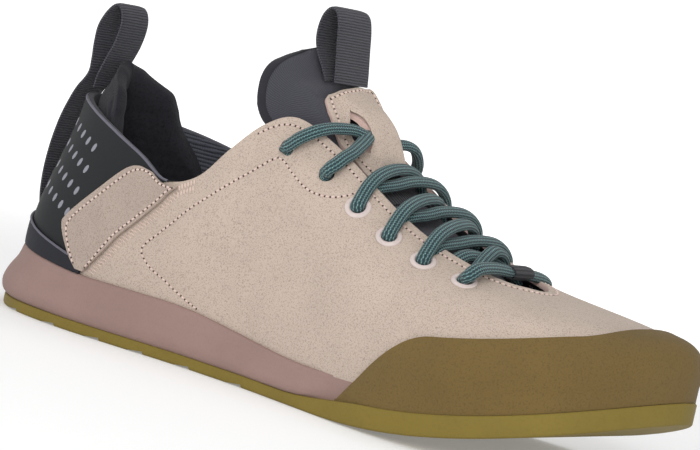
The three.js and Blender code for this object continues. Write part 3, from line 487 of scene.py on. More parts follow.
# Speckled nap: a fine grain, a slow mottle and the height that goes with them
def makeNapGroup():
    group, start, end = newGroup(
        "speckledNap",
        [("Base", "NodeSocketColor", (0.5, 0.5, 0.5, 1)), ("Speck", "NodeSocketColor", (0.2, 0.2, 0.2, 1)),
         ("Grain", "NodeSocketFloat", 2200), ("Mottle", "NodeSocketFloat", 45),
         ("Amount", "NodeSocketFloat", 0.3)],
        [("Color", "NodeSocketColor"), ("Height", "NodeSocketFloat")])
    place = addNode(group, "ShaderNodeTexCoord").outputs["Object"]
    fine = addNode(group, "ShaderNodeTexNoise", None, {"Detail": 3, "Roughness": 0.75})
    group.links.new(place, fine.inputs["Vector"])
    group.links.new(start.outputs["Grain"], fine.inputs["Scale"])
    slow = addNode(group, "ShaderNodeTexNoise", None, {"Detail": 4, "Roughness": 0.6})
    group.links.new(place, slow.inputs["Vector"])
    group.links.new(start.outputs["Mottle"], slow.inputs["Scale"])
    specks = addNode(group, "ShaderNodeMapRange", None, {"From Min": 0.5, "From Max": 0.72})
    group.links.new(fine.outputs[0], specks.inputs["Value"])
    share = mathNode(group, "MULTIPLY", specks.outputs[0], start.outputs["Amount"])
    colour = blendColours(group, share, start.outputs["Base"], start.outputs["Speck"])
    cloud = addNode(group, "ShaderNodeMapRange", None,
                    {"From Min": 0.35, "From Max": 0.65, "To Min": 0.95, "To Max": 1.04})
    group.links.new(slow.outputs[0], cloud.inputs["Value"])
    shade = addNode(group, "ShaderNodeCombineColor")
    for index in range(3):
        group.links.new(cloud.outputs[0], shade.inputs[index])
    colour = blendColours(group, 1.0, colour, shade.outputs[0], "MULTIPLY")
    group.links.new(colour, end.inputs["Color"])
    group.links.new(fine.outputs[0], end.inputs["Height"])
    return group


# Threads on the UV map, in millimetres: ribs across V, with finer threads along them
def makeRibGroup():
    group, start, end = newGroup(
        "ribbedThreads",
        [("Pitch", "NodeSocketFloat", 1.0), ("Thread", "NodeSocketFloat", 0.5),
         ("Slant", "NodeSocketFloat", 0.0)],
        [("Height", "NodeSocketFloat"), ("Threads", "NodeSocketFloat")])
    place = addNode(group, "ShaderNodeUVMap").outputs[0]
    parts = addNode(group, "ShaderNodeSeparateXYZ")
    group.links.new(place, parts.inputs[0])
    wobble = addNode(group, "ShaderNodeTexNoise", None, {"Scale": 0.6, "Detail": 2})
    group.links.new(place, wobble.inputs["Vector"])
    shift = mathNode(group, "MULTIPLY", mathNode(group, "SUBTRACT", wobble.outputs[0], 0.5), 0.5)
    slanted = mathNode(group, "MULTIPLY", parts.outputs[0], start.outputs["Slant"])
    along = mathNode(group, "ADD", mathNode(group, "ADD", parts.outputs[1], slanted), shift)
    ribTurn = mathNode(group, "MULTIPLY", mathNode(group, "DIVIDE", along, start.outputs["Pitch"]),
                       2 * math.pi)
    rib = mathNode(group, "ADD", mathNode(group, "MULTIPLY", mathNode(group, "SINE", ribTurn), 0.5), 0.5)
    halfTurn = mathNode(group, "MULTIPLY", mathNode(group, "FLOOR",
                        mathNode(group, "DIVIDE", along, start.outputs["Pitch"])), math.pi)
    acrossTurn = mathNode(group, "MULTIPLY",
                          mathNode(group, "DIVIDE", parts.outputs[0], start.outputs["Thread"]),
                          2 * math.pi)
    thread = mathNode(group, "SINE", mathNode(group, "ADD", acrossTurn, halfTurn))
    thread = mathNode(group, "ADD", mathNode(group, "MULTIPLY", thread, 0.5), 0.5)
    height = mathNode(group, "ADD", mathNode(group, "POWER", rib, 0.6),
                      mathNode(group, "MULTIPLY", thread, 0.35))
    group.links.new(height, end.inputs["Height"])
    group.links.new(thread, end.inputs["Threads"])
    return group


napGroup = makeNapGroup()
ribGroup = makeRibGroup()


def newMaterial(name, roughness=0.8, sheen=0.0, coat=0.0, specular=0.5):
    material = bpy.data.materials.new(name)
    material.use_nodes = True
    tree = material.node_tree
    shader = tree.nodes["Principled BSDF"]
    shader.inputs["Roughness"].default_value = roughness
    shader.inputs["Sheen Weight"].default_value = sheen
    shader.inputs["Sheen Roughness"].default_value = 0.6
    shader.inputs["Coat Weight"].default_value = coat
    shader.inputs["Specular IOR Level"].default_value = specular
    return material, tree, shader


def addBump(tree, shader, height, distance, strength=1.0):
    bump = addNode(tree, "ShaderNodeBump", None, {"Distance": distance * mm, "Strength": strength})
    tree.links.new(height, bump.inputs["Height"])
    tree.links.new(bump.outputs[0], shader.inputs["Normal"])


def napMaterial(name, base, speck, grain=2200, mottle=45, amount=0.3, roughness=0.95, sheen=0.1, bump=0.12,
                specular=0.3):
    material, tree, shader = newMaterial(name, roughness, sheen, 0, specular)
    nap = addNode(tree, "ShaderNodeGroup", {"node_tree": napGroup},
                  {"Base": base, "Speck": speck, "Grain": grain, "Mottle": mottle, "Amount": amount})
    tree.links.new(nap.outputs["Color"], shader.inputs["Base Color"])
    addBump(tree, shader, nap.outputs["Height"], bump)
    return material


def ribMaterial(name, low, high, pitch, thread, slant=0.0, roughness=0.9, sheen=0.1, bump=0.25):
    material, tree, shader = newMaterial(name, roughness, sheen, 0, 0.3)
    ribs = addNode(tree, "ShaderNodeGroup", {"node_tree": ribGroup},
                   {"Pitch": pitch, "Thread": thread, "Slant": slant})
    # Colour follows the rib height, low colour in the hollows and high colour on the crowns: on the webbing,
    # tape, twill and elastic this is partly painted shade in the hollows over the cloth's own tone; on the
    # heel dots it is the printed hatching
    ramp = addNode(tree, "ShaderNodeMapRange", None, {"From Min": 0.1, "From Max": 1.2})
    tree.links.new(ribs.outputs["Height"], ramp.inputs["Value"])
    colour = blendColours(tree, ramp.outputs[0], low, high)
    tree.links.new(colour, shader.inputs["Base Color"])
    addBump(tree, shader, ribs.outputs["Height"], bump)
    return material


# A round cord's braid on its UV map: U around in shares, V along in millimetres
def cordMaterial(name, dark, middle, fleck):
    material, tree, shader = newMaterial(name, 0.75, 0.15, 0, 0.35)
    place = addNode(tree, "ShaderNodeUVMap").outputs[0]
    parts = addNode(tree, "ShaderNodeSeparateXYZ")
    tree.links.new(place, parts.inputs[0])
    around, along = parts.outputs[0], parts.outputs[1]
    strands = 12
    ribTurn = mathNode(tree, "MULTIPLY", around, 2 * math.pi * strands)
    rib = mathNode(tree, "ADD", mathNode(tree, "MULTIPLY", mathNode(tree, "COSINE", ribTurn), 0.5), 0.5)
    stepTurn = mathNode(tree, "MULTIPLY", along, 2 * math.pi / 0.95)
    offset = mathNode(tree, "MULTIPLY", mathNode(tree, "FLOOR", mathNode(tree, "MULTIPLY", around, strands)),
                      math.pi)
    weave = mathNode(tree, "SINE", mathNode(tree, "ADD", stepTurn, offset))
    weave = mathNode(tree, "ADD", mathNode(tree, "MULTIPLY", weave, 0.5), 0.5)
    noise = addNode(tree, "ShaderNodeTexNoise", None, {"Scale": 1600, "Detail": 2})
    tree.links.new(addNode(tree, "ShaderNodeTexCoord").outputs["Object"], noise.inputs["Vector"])
    height = mathNode(tree, "ADD", mathNode(tree, "MULTIPLY", rib, 0.6),
                      mathNode(tree, "MULTIPLY", weave, 0.6))
    height = mathNode(tree, "ADD", height, mathNode(tree, "MULTIPLY", noise.outputs[0], 0.25))
    # Base colour darker towards the grooves between the strands: partly painted shade of the grooves, over
    # the cord's dark and middle tones
    base = blendColours(tree, mathNode(tree, "POWER", rib, 1.2), dark, middle)
    raised = mathNode(tree, "MULTIPLY", mathNode(tree, "POWER", weave, 2.5),
                      mathNode(tree, "POWER", rib, 2.0))
    flecks = mathNode(tree, "MULTIPLY", raised, mathNode(tree, "MULTIPLY", noise.outputs[0], 1.5), True)
    tree.links.new(blendColours(tree, flecks, base, fleck), shader.inputs["Base Color"])
    addBump(tree, shader, height, 0.35)
    return material


suede = napMaterial("suede", srgb(188, 172, 159), srgb(104, 84, 74), amount=0.8, sheen=0.06)
# The heel flaps get a darker copy of the suede: painted shade for the part shadow they sit in
flapShadedSuede = napMaterial("flapShadedSuede", srgb(172, 156, 145), srgb(96, 78, 68), amount=0.8, sheen=0.06)
suedeEdge = napMaterial("suedeCutEdge", srgb(206, 178, 168), srgb(140, 112, 102), grain=3000, amount=0.5)
randRubber = napMaterial("toeRandRubber", srgb(107, 87, 46), srgb(66, 52, 26), grain=1500, amount=0.5,
                         roughness=0.82, sheen=0.03, bump=0.12, specular=0.3)
soleRubber = napMaterial("outsoleRubber", srgb(122, 105, 42), srgb(96, 80, 30), grain=900, amount=0.25,
                         roughness=0.65, sheen=0, bump=0.04, specular=0.3)
foam = napMaterial("midsoleFoam", srgb(146, 121, 114), srgb(128, 104, 97), grain=1200, amount=0.3,
                   roughness=0.75, sheen=0, bump=0.04, specular=0.25)
counterSkin = napMaterial("counterSkin", srgb(33, 34, 41), srgb(22, 22, 28), grain=900, amount=0.3,
                          roughness=0.7, sheen=0, bump=0.03, specular=0.25)
panelSkin = napMaterial("heelPanelSkin", srgb(27, 29, 31), srgb(17, 18, 20), grain=700, amount=0.3,
                        roughness=0.65, sheen=0, bump=0.03, specular=0.25)
liningFleece = napMaterial("fuzzyLining", srgb(38, 38, 43), srgb(12, 12, 15), grain=1100, mottle=220,
                           amount=0.7,
                           roughness=1.0, sheen=0.06, bump=0.35, specular=0.15)
liningCloth = napMaterial("innerCloth", srgb(52, 53, 60), srgb(28, 28, 34), grain=2400, amount=0.5,
                          roughness=0.95)
insoleCloth = napMaterial("footbedCloth", srgb(58, 58, 64), srgb(34, 34, 40), grain=1800, amount=0.5)
twill = ribMaterial("tongueTwill", srgb(48, 48, 55), srgb(72, 72, 80), 0.62, 0.62, slant=0.7, bump=0.1)
binding = napMaterial("bindingCloth", srgb(40, 40, 46), srgb(24, 24, 28), grain=1800, amount=0.5)
webbing = ribMaterial("greyWebbing", srgb(24, 24, 29), srgb(70, 70, 79), 0.95, 0.55, bump=0.3)
blackWebbing = ribMaterial("darkWebbing", srgb(18, 18, 22), srgb(58, 58, 64), 1.25, 0.6, bump=0.35)
elastic = ribMaterial("ribbedElastic", srgb(34, 35, 41), srgb(92, 94, 104), 1.5, 0.7, bump=0.25)
lace = cordMaterial("braidedLace", srgb(18, 42, 48), srgb(44, 84, 90), srgb(160, 196, 190))
pipingSkin = napMaterial("pipingCloth", srgb(98, 96, 108), srgb(74, 72, 82), grain=1500, amount=0.5)
dotPrint = ribMaterial("heelDots", srgb(92, 92, 102), srgb(150, 150, 160), 0.5, 0.5, slant=1.0, bump=0.05)
eyeletCoat = napMaterial("eyeletCoat", srgb(204, 190, 186), srgb(178, 162, 158), grain=500, amount=0.3,
                         roughness=0.42, sheen=0, bump=0.02)
thread = napMaterial("paleThread", srgb(216, 194, 184), srgb(176, 150, 140), grain=3000, amount=0.4)
# Dark colour for the flat discs at the needle holes: painted shade of the holes
needleHoleShade = napMaterial("needleHoleShade", srgb(62, 46, 42), srgb(34, 24, 22), grain=3000, amount=0.4)


def finishPiece(piece, material, slotName, *nodes):
    if not piece.data.materials:
        piece.data.materials.append(material)
    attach(piece, "root")
    if nodes:
        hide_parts(*nodes)
    return piece


# Closed tube along points in millimetres, U around in shares and V along in millimetres
def tubeAlong(name, path, radius, sides=16, flatten=1.0, facing=None):
    path = np.asarray(path, float)
    ahead = unit(np.gradient(path, axis=0))
    if facing is None:
        side = np.cross(ahead[0], [0.0, 0.0, 1.0])
        if np.linalg.norm(side) < 1e-3:
            side = np.cross(ahead[0], [0.0, 1.0, 0.0])
        side = unit(side)
        sidesList = []
        for direction in ahead:
            side = unit(side - direction * side.dot(direction))
            sidesList.append(side)
        right = np.array(sidesList)
    else:
        right = unit(np.cross(ahead, facing))
        for _ in range(6):
            right[1:-1] = unit(right[1:-1] * 0.5 + 0.25 * (right[:-2] + right[2:]))
        right = unit(right - ahead * (right * ahead).sum(axis=1, keepdims=True))
    up = np.cross(right, ahead)
    radii = np.broadcast_to(np.asarray(radius, float), (len(path),))
    turns = np.linspace(0, 2 * math.pi, sides + 1)
    ring = np.cos(turns)[:, None, None] * right[None] + flatten * np.sin(turns)[:, None, None] * up[None]
    points = path[None] + ring * radii[None, :, None]
    lengths = np.concatenate([[0], np.cumsum(np.linalg.norm(np.diff(path, axis=0), axis=1))])
    uvs = np.stack(np.meshgrid(turns / (2 * math.pi), lengths, indexing="ij"), axis=2)
    piece = layGrid(name, points, uvs)
    mergePoints(piece, 0.002)
    fillEnds(piece)
    turnFacesOut(piece)
    smoothFaces(piece, 50)
    return piece


def treeOf(piece):
    mesh = piece.data
    return BVHTree.FromPolygons([tuple(v.co) for v in mesh.vertices],
                                [tuple(p.vertices) for p in mesh.polygons])


# Each point of a path moved onto the nearest face, and the face's direction there
def ontoSurface(tree, path, height=0.0):
    found = []
    normals = []
    for point in path:
        place, normal = tree.find_nearest(Vector(point) * mm)[:2]
        found.append(np.array(place) / mm + np.array(normal) * height)
        normals.append(np.array(normal))
    return np.array(found), np.array(normals)


# A row of stitches: one stitch is modelled, and each copy is bent to its own place
stitching = {"pitch": 2.0, "length": 1.5, "width": 0.8, "height": 0.4, "hole": 0.42}


def oneStitch():
    deselectAll()
    bpy.ops.mesh.primitive_uv_sphere_add(segments=8, ring_count=6, radius=0.5)
    template = bpy.context.object
    flat = np.empty(len(template.data.vertices) * 3)
    template.data.vertices.foreach_get("co", flat)
    faces = [tuple(p.vertices) for p in template.data.polygons]
    bpy.data.objects.remove(template)
    return flat.reshape(-1, 3), faces


stitchForm, stitchFaces = oneStitch()


def scatterForms(name, centres, along, normals, size):
    across = unit(np.cross(normals, along))
    along = unit(np.cross(across, normals))
    form = stitchForm * np.array(size)
    points = (centres[:, None] + form[None, :, 0:1] * along[:, None] + form[None, :, 1:2] * across[:, None]
              + form[None, :, 2:3] * normals[:, None])
    count = len(stitchForm)
    faces = [tuple(v + count * k for v in face) for k in range(len(centres)) for face in stitchFaces]
    mesh = bpy.data.meshes.new(name)
    mesh.from_pydata((points.reshape(-1, 3) * mm).tolist(), [], faces)
    mesh.update()
    piece = bpy.data.objects.new(name, mesh)
    bpy.context.scene.collection.objects.link(piece)
    smoothFaces(piece, 80)
    return piece


def stitchRow(path, tree, pitch=None, lift=0.05):
    pitch = pitch or stitching["pitch"]
    marks = evenCurve(path, spacing=pitch)
    marks, normals = ontoSurface(tree, marks, lift)
    middle = (marks[1:] + marks[:-1]) / 2
    middleNormal = unit(normals[1:] + normals[:-1])
    along = marks[1:] - marks[:-1]
    return middle, along, middleNormal, marks, normals


def sewRows(name, paths, tree, threadMaterial, lift=0.05, pitch=None, holes=True):
    rows = [stitchRow(path, tree, pitch, lift) for path in paths]
    centres = np.concatenate([row[0] for row in rows])
    along = np.concatenate([row[1] for row in rows])
    normals = np.concatenate([row[2] for row in rows])
    size = (stitching["length"], stitching["width"], stitching["height"] * 2)
    stitches = scatterForms(name, centres, along, normals, size)
    finishPiece(stitches, threadMaterial, "suede")
    if holes:
        # Each needle hole is a flat dark disc on the surface: painted shade in place of a real hole
        marks = np.concatenate([row[3] for row in rows])
        markNormals = np.concatenate([row[4] for row in rows])
        ahead = np.concatenate([np.vstack([row[1], row[1][-1:]]) for row in rows])
        hole = stitching["hole"]
        dots = scatterForms(name + "_holes", marks - markNormals * lift, ahead, markNormals,
                            (hole * 1.7, hole * 2.1, 0.12))
        finishPiece(dots, needleHoleShade, "suede")
    return stitches


# Upper: one wall from the sole to the opening, with its lace holes
upper = {"columns": 396, "rows": 66, "edgeBevel": 0.45, "seamDepth": 0.28, "seamWidth": 1.3}
quarterLine = [(-33.2, 20.5), (-40.9, 23.1), (-48.1, 26.3), (-55.3, 29.5), (-59.4, 32.8), (-60, 36.2),
               (-52.5, 44.3),
               (-43.7, 53.4), (-36.1, 60), (-28.6, 66.3), (-21.9, 72), (-16, 77.2), (-12.6, 77), (-9.1, 74.6),
               (-2.4, 70.9), (2.9, 69.4), (8.8, 69.3), (13.1, 70.8), (15.8, 73.2)]
# Soft troughs and ridges of the worn wall: x, z, half length, half width, turn in degrees, height
softForms = [
    (52, 40, 26, 5.5, -28, -0.55), (66, 37, 20, 5, -20, 0.4), (38, 46, 24, 6, -35, 0.35),
    (20, 50, 22, 7, -42, -0.35), (-30, 40, 26, 9, 38, -0.4), (-8, 55, 20, 7, 30, 0.35),
    (84, 40, 14, 5, -15, -0.4), (-70, 50, 14, 5, 40, 0.3), (-45, 34, 18, 5, 30, 0.3),
             (0, 34, 30, 7, -8, -0.3),
]


def holeFrame(side, number):
    place = station(f"eyelet{number}")
    s = float(place if side == "lateral" else stationCount - place)
    share = 1 - shoe["eyeletInset"] / wallTotal(s)
    point, normal = skin(s, share, 0.0, True)
    return s, share, point, normal


def distanceToLine(x, z, line):
    best = np.full(x.shape, 1e9)
    for (ax, az), (bx, bz) in zip(line[:-1], line[1:]):
        dx, dz = bx - ax, bz - az
        part = np.clip(((x - ax) * dx + (z - az) * dz) / (dx * dx + dz * dz), 0, 1)
        best = np.minimum(best, np.hypot(x - ax - part * dx, z - az - part * dz))
    return best


def buildUpper():
    columns = np.linspace(0, stationCount, upper["columns"] + 1)
    shares = np.linspace(0, 1, upper["rows"] + 1)
    s, share = np.meshgrid(columns, shares, indexing="ij")
    points, normals = skin(s, share, 0.0, True)
    x, z = points[..., 0], points[..., 2]
    sideways = smoothStep(0.35, 0.75, np.abs(normals[..., 1]))
    away = distanceToLine(x, z, quarterLine)
    height = -upper["seamDepth"] * np.exp(-(away / upper["seamWidth"]) ** 2) * sideways
    for cx, cz, longHalf, shortHalf, turn, rise in softForms:
        a = math.radians(turn)
        u = ((x - cx) * math.cos(a) + (z - cz) * math.sin(a)) / longHalf
        v = (-(x - cx) * math.sin(a) + (z - cz) * math.cos(a)) / shortHalf
        height += rise * np.exp(-u * u - v * v)
    total = wallTotal(columns)[:, None] * np.ones_like(share)
    fromEdge = (1 - share) * total
    height += -0.18 * np.exp(-((fromEdge - 3.2) / 0.9) ** 2)  # the edge's stitch row
    height *= smoothStep(0, 0.06, share)
    points = points + normals * height[..., None]
    points[:, 0, 2] -= 1.2
    uvs = np.stack([s * 17.0, share * total], axis=2)
    piece = layGrid("upper_wall", points, uvs, lambda centres: centres * np.array([0.4, 1, 0]))
    mergePoints(piece, 0.02)
    activate(piece)
    piece.data.materials.append(suede)
    piece.data.materials.append(liningCloth)
    piece.data.materials.append(suedeEdge)
    applyModifier(piece, "SOLIDIFY", thickness=shoe["wall"] * mm, offset=-1, use_even_offset=False,
                  material_offset=1, material_offset_rim=2)
    applyModifier(piece, "BEVEL", width=upper["edgeBevel"] * mm, segments=2, limit_method="ANGLE",
                  angle_limit=math.radians(50))
    cutters = []
    for side in ("lateral", "medial"):
        for number in range(1, 7):
            point, normal = holeFrame(side, number)[2:]
            deselectAll()
            bpy.ops.mesh.primitive_cylinder_add(vertices=24, radius=shoe["holeDiameter"] / 2 * mm,
                                                depth=9 * mm,
                                                location=Vector(point) * mm,
                                                rotation=Vector(normal).to_track_quat("Z", "Y").to_euler())
            cutters.append(bpy.context.object)
    cutter = joinPieces(cutters, "holeCutter")
    cutter.data.materials.append(suedeEdge)
    applyModifier(piece, "BOOLEAN", operation="DIFFERENCE", object=cutter, solver="EXACT")
    bpy.data.objects.remove(cutter)
    smoothFaces(piece, 35)
    # The wall's inside between heel padding and throat is ribbed elastic
    for face in piece.data.polygons:
        centre = face.center / mm
        if face.material_index == 1 and -96 < centre.x < -40 and centre.z > 45:
            face.material_index = 3
    piece.data.materials.append(elastic)
    for face in piece.data.polygons:  # the sling's cut edge is dark, behind the flaps
        if face.material_index == 2 and face.center.x / mm < -52:
            face.material_index = 1
    return finishPiece(piece, suede, "suede", "upper")


# Sole pieces from the plan curve, with rows of inset and height up their sides
def soleSlab(name, rows, count=320, across=14):
    s = np.linspace(0, stationCount, count + 1)
    walls = np.stack([row(s) for row in rows], axis=1) + planShift
    side = layGrid(name, walls, None, lambda centres: centres * np.array([0.3, 1, 0]))
    half = count // 2
    parts = [side]
    for end, facing in ((0, -1.0), (-1, 1.0)):
        ring = walls[:-1, end]
        left = ring[:half + 1]
        right = ring[(-np.arange(half + 1)) % count]
        part = np.linspace(0, 1, across + 1)[None, :, None]
        flat = left[:, None] * (1 - part) + right[:, None] * part
        parts.append(layGrid(name + "_cap", flat, None, lambda centres, f=facing: np.array([[0, 0, f]])))
    piece = joinPieces(parts, name)
    mergePoints(piece, 0.01)
    turnFacesOut(piece)
    return piece


outsoleForm = {"bevel": 1.1, "grooveWidth": 2.4, "grooveDepth": 1.6, "grooveInset": 7,
               "grooveShares": (0.08, 0.155, 0.23, 0.305, 0.38, 0.455, 0.53, 0.61, 0.69),
               "stepShares": (0.085, 0.165, 0.244, 0.315, 0.391, 0.48), "stepRun": 7.5, "stepRise": 1.1}


def slabRow(inset, height):
    def row(s):
        x = solePlan(s)[..., 0]
        share = shareOf(x)
        return soleEdge(s, inset(share) if callable(inset) else inset + 0 * x, height(x))
    return row


def buildOutsole():
    bevel = outsoleForm["bevel"]
    rows = []
    for turn in np.linspace(0, math.pi / 2, 5):
        rows.append(slabRow(bevel * (1 - math.sin(turn)),
                            lambda x, t=turn: liftAt(x) + bevel * (1 - math.cos(t))))
    for part in (0.35, 0.7):
        rows.append(slabRow(0.0, lambda x, p=part: mix(liftAt(x) + bevel, outsoleTop(x) - 0.3, p)))
    rows.append(slabRow(0.0, lambda x: outsoleTop(x) - 0.35))
    rows.append(slabRow(0.3, outsoleTop))
    piece = soleSlab("outsole_rubber", rows)
    cutters = []
    for share in outsoleForm["grooveShares"]:
        x = (share - 0.5) * length
        width = np.interp(share, [0, 0.1, 0.3, 0.45, 0.7, 0.8, 1], [40, 62, 68, 66, 96, 92, 40])
        deselectAll()
        bpy.ops.mesh.primitive_cube_add(size=1, location=Vector((x + planShift[0], 0, float(liftAt(x)))) * mm,
                                        scale=Vector((outsoleForm["grooveWidth"],
                                                      width - 2 * outsoleForm["grooveInset"],
                                                      2 * outsoleForm["grooveDepth"])) * mm)
        cutters.append(bpy.context.object)
    cutter = joinPieces(cutters, "grooveCutter")
    applyModifier(cutter, "BEVEL", width=0.6 * mm, segments=3)
    applyModifier(piece, "BOOLEAN", operation="DIFFERENCE", object=cutter, solver="EXACT")
    bpy.data.objects.remove(cutter)
    # Each lug of the heel and arch ends in a small step at the sole's edge
    cutters = []
    run, rise = outsoleForm["stepRun"], outsoleForm["stepRise"]
    for share in outsoleForm["stepShares"]:
        deselectAll()
        middle = Vector(((share - 0.5) * length + planShift[0] - run / 2, 0, 0)) * mm
        bpy.ops.mesh.primitive_cube_add(size=1, location=middle, rotation=(0, -rise * 0.85 / run, 0),
                                        scale=Vector((run, 130, rise * 1.15)) * mm)
        cutters.append(bpy.context.object)
    cutter = joinPieces(cutters, "stepCutter")
    applyModifier(piece, "BOOLEAN", operation="DIFFERENCE", object=cutter, solver="EXACT", use_self=True)
    bpy.data.objects.remove(cutter)
    smoothFaces(piece, 30)
    return finishPiece(piece, soleRubber, "sole_rubber", "outsole")


def buildMidsole():
    def beside(edge):
        return lambda share: mix(edge(share), shoe["featherInset"], smoothStep(0.57, 0.62, share))
    knots = [
        (beside(lambda share: 0.6 + 0 * share), 0.0),
        (beside(lambda share: mix(-1.3, -0.5, smoothStep(0.08, 0.25, share))), 0.1),
        (beside(lambda share: mix(-1.9, -0.9, smoothStep(0.08, 0.25, share))), 0.28),
        (beside(lambda share: mix(-1.0, -0.4, smoothStep(0.08, 0.25, share)) + 0.12 * insetAt(share)), 0.5),
        (beside(lambda share: 0.5 * insetAt(share) - 0.4), 0.72),
        (beside(lambda share: insetAt(share) - 1.6), 0.94),
        (beside(lambda share: insetAt(share) - 0.9), 1.0),
    ]
    def wall(s):
        x = solePlan(s)[..., 0]
        share = shareOf(x)
        stack = [np.stack([inset(share), mix(outsoleTop(x) + 0.05, midsoleTop(x), part)], axis=1)
                 for inset, part in knots]
        return np.array(stack)
    steps = np.linspace(0, len(knots) - 1, 19)
    rows = []
    for step in steps:
        def row(s, step=step):
            level = splineAt(wall(s), np.array(step), False)
            return soleEdge(s, level[..., 0], level[..., 1])
        rows.append(row)
    piece = soleSlab("midsole_foam", rows)
    smoothFaces(piece, 40)
    return finishPiece(piece, foam, "foam", "midsole")


def buildInsole():
    def inset(share):
        return insetAt(share) + shoe["wall"] + 1.2

    rows = [slabRow(inset, lambda x: midsoleTop(x) + 0.3), slabRow(inset, lambda x: midsoleTop(x) + 3.3),
            slabRow(lambda share: inset(share) + 0.8, lambda x: midsoleTop(x) + 3.9)]
    piece = soleSlab("footbed", rows, 180, 10)
    smoothFaces(piece, 40)
    return finishPiece(piece, insoleCloth, "insole_cloth", "insole")


# Rubber rand round the toe
randForm = {"endLateral": 0.133, "endMedial": 0.148, "fullLateral": 0.262, "fullMedial": 0.285, "side": 24.5,
            "toe": 30, "riseSpan": 1.7, "thickness": 2.3, "edge": 1.2, "seat": 0.35}


def randReach(s):
    lateral = s <= toeStation
    endX = np.where(lateral, randForm["endLateral"], randForm["endMedial"]) * length
    fullX = np.where(lateral, randForm["fullLateral"], randForm["fullMedial"]) * length
    part = (solePlan(s)[..., 0] - endX) / (fullX - endX)
    climb = smoothStep(-randForm["riseSpan"], 0, -np.abs(s - toeStation))
    full = mix(randForm["side"], randForm["toe"], climb)
    return full * np.sin(math.pi / 2 * np.clip(part, 0.02, 1))


def stationAtX(side, x):
    low, high = float(station("eyelet6")), toeStation - 1.0
    sign = 1 if side == "lateral" else -1
    for _ in range(40):
        middle = (low + high) / 2
        if solePlan(sign * middle)[0] < x:
            low = middle
        else:
            high = middle
    return low if side == "lateral" else stationCount - low


def randPoints(s, height, offset):
    base = solePlan(s)[..., 0]
    foot = midsoleTop(base) + 0.3
    bottom = outsoleTop(base) + 0.05
    band = foot - bottom
    low = soleEdge(s, shoe["featherInset"] - offset, bottom + height) + planShift
    share = np.maximum(0, height - band) / wallTotal(s)
    high = skin(s, share, offset)
    return np.where(height[..., None] < band[..., None], low, high)


def buildRand():
    start = stationAtX("lateral", randForm["endLateral"] * length)
    end = stationAtX("medial", randForm["endMedial"] * length)
    s1 = np.linspace(start, end, 300)
    rows = 26
    s, part = np.meshgrid(s1, np.linspace(0, 1, rows + 1), indexing="ij")
    height = randReach(s) * part
    outer = randForm["thickness"] * np.ones_like(part)
    outer = mix(outer, randForm["edge"], smoothStep(0.6, 1, part))
    ends = np.minimum(1, np.minimum(s - start, end - s) / 1.2)
    outer = mix(randForm["edge"], outer, ends)
    points = randPoints(s, height, randForm["seat"] + outer)
    # Eases the bend where the band meets the upper
    for _ in range(3):
        points[:, 1:-1] = 0.5 * points[:, 1:-1] + 0.25 * (points[:, :-2] + points[:, 2:])
    piece = layGrid("rand_band", points, None, lambda centres: centres * np.array([0.4, 1, 0]))
    applyModifier(piece, "SOLIDIFY", thickness=1.15 * mm, offset=-1)
    applyModifier(piece, "BEVEL", width=0.35 * mm, segments=3, limit_method="ANGLE",
                  angle_limit=math.radians(50))
    smoothFaces(piece, 40)
    return finishPiece(piece, randRubber, "toe_rubber", "toe_rand")


# Pieces laid on the wall: station and share of each point, their thickness and seat
def layOnWall(name, s, share, seat, thickness, bevel=0.3):
    points, normals = skin(s, share, seat + thickness, True)
    piece = layGrid(name, points)
    normal = np.empty(len(piece.data.polygons) * 3)
    piece.data.polygons.foreach_get("normal", normal)
    if (normal.reshape(-1, 3).mean(axis=0) * normals.reshape(-1, 3).mean(axis=0)).sum() < 0:
        activate(piece)
        bpy.ops.object.mode_set(mode="EDIT")
        bpy.ops.mesh.select_all(action="SELECT")
        bpy.ops.mesh.flip_normals()
        bpy.ops.object.mode_set(mode="OBJECT")
    applyModifier(piece, "SOLIDIFY", thickness=(thickness + min(seat, 0.3)) * mm, offset=-1)
    if bevel:
        applyModifier(piece, "BEVEL", width=bevel * mm, segments=2, limit_method="ANGLE",
                      angle_limit=math.radians(50))
    smoothFaces(piece, 40)
    return piece


counterForm = {"end": 2.92, "height": 11, "lowShare": 0.5, "seat": 0.6, "thickness": 1.0, "piping": 0.42}


def counterTop(s):
    turn = np.abs(s) / counterForm["end"]
    return counterForm["height"] * mix(1, counterForm["lowShare"], np.clip(turn, 0, 1.2) ** 1.5)


def buildCounter():
    s1 = np.linspace(-3.3, 3.3, 120)
    s, part = np.meshgrid(s1, np.linspace(0, 1, 9), indexing="ij")
    share = part * (counterTop(s) / wallTotal(s1)[:, None])
    piece = layOnWall("counter_band", s, share, counterForm["seat"], counterForm["thickness"])
    finishPiece(piece, counterSkin, "counter", "heel_counter")
    edge = skin(s1, counterTop(s1) / wallTotal(s1), counterForm["seat"] + counterForm["thickness"] - 0.1)
    piping = tubeAlong("counter_piping", evenCurve(edge[::4], spacing=1.2), counterForm["piping"], 10)
    finishPiece(piping, pipingSkin, "counter")


# Smooth dark panel behind the flaps, up to the collar, with its rows of dots
panelForm = {"seat": 0.15, "thickness": 0.55, "dotsInRow": 5, "dotPitch": (-4.9, 1.6),
             "dotStarts": ((-95.9, 63.7), (-95.8, 55.8), (-96.6, 47.7), (-97.9, 39.8)),
             "dotSize": (3.6, 2.1, 0.3)}
panelFront = [(-85.6, 23.5), (-86.5, 30), (-84, 38), (-75, 47.5), (-66, 55), (-58, 59.5), (-53.5, 60.6)]


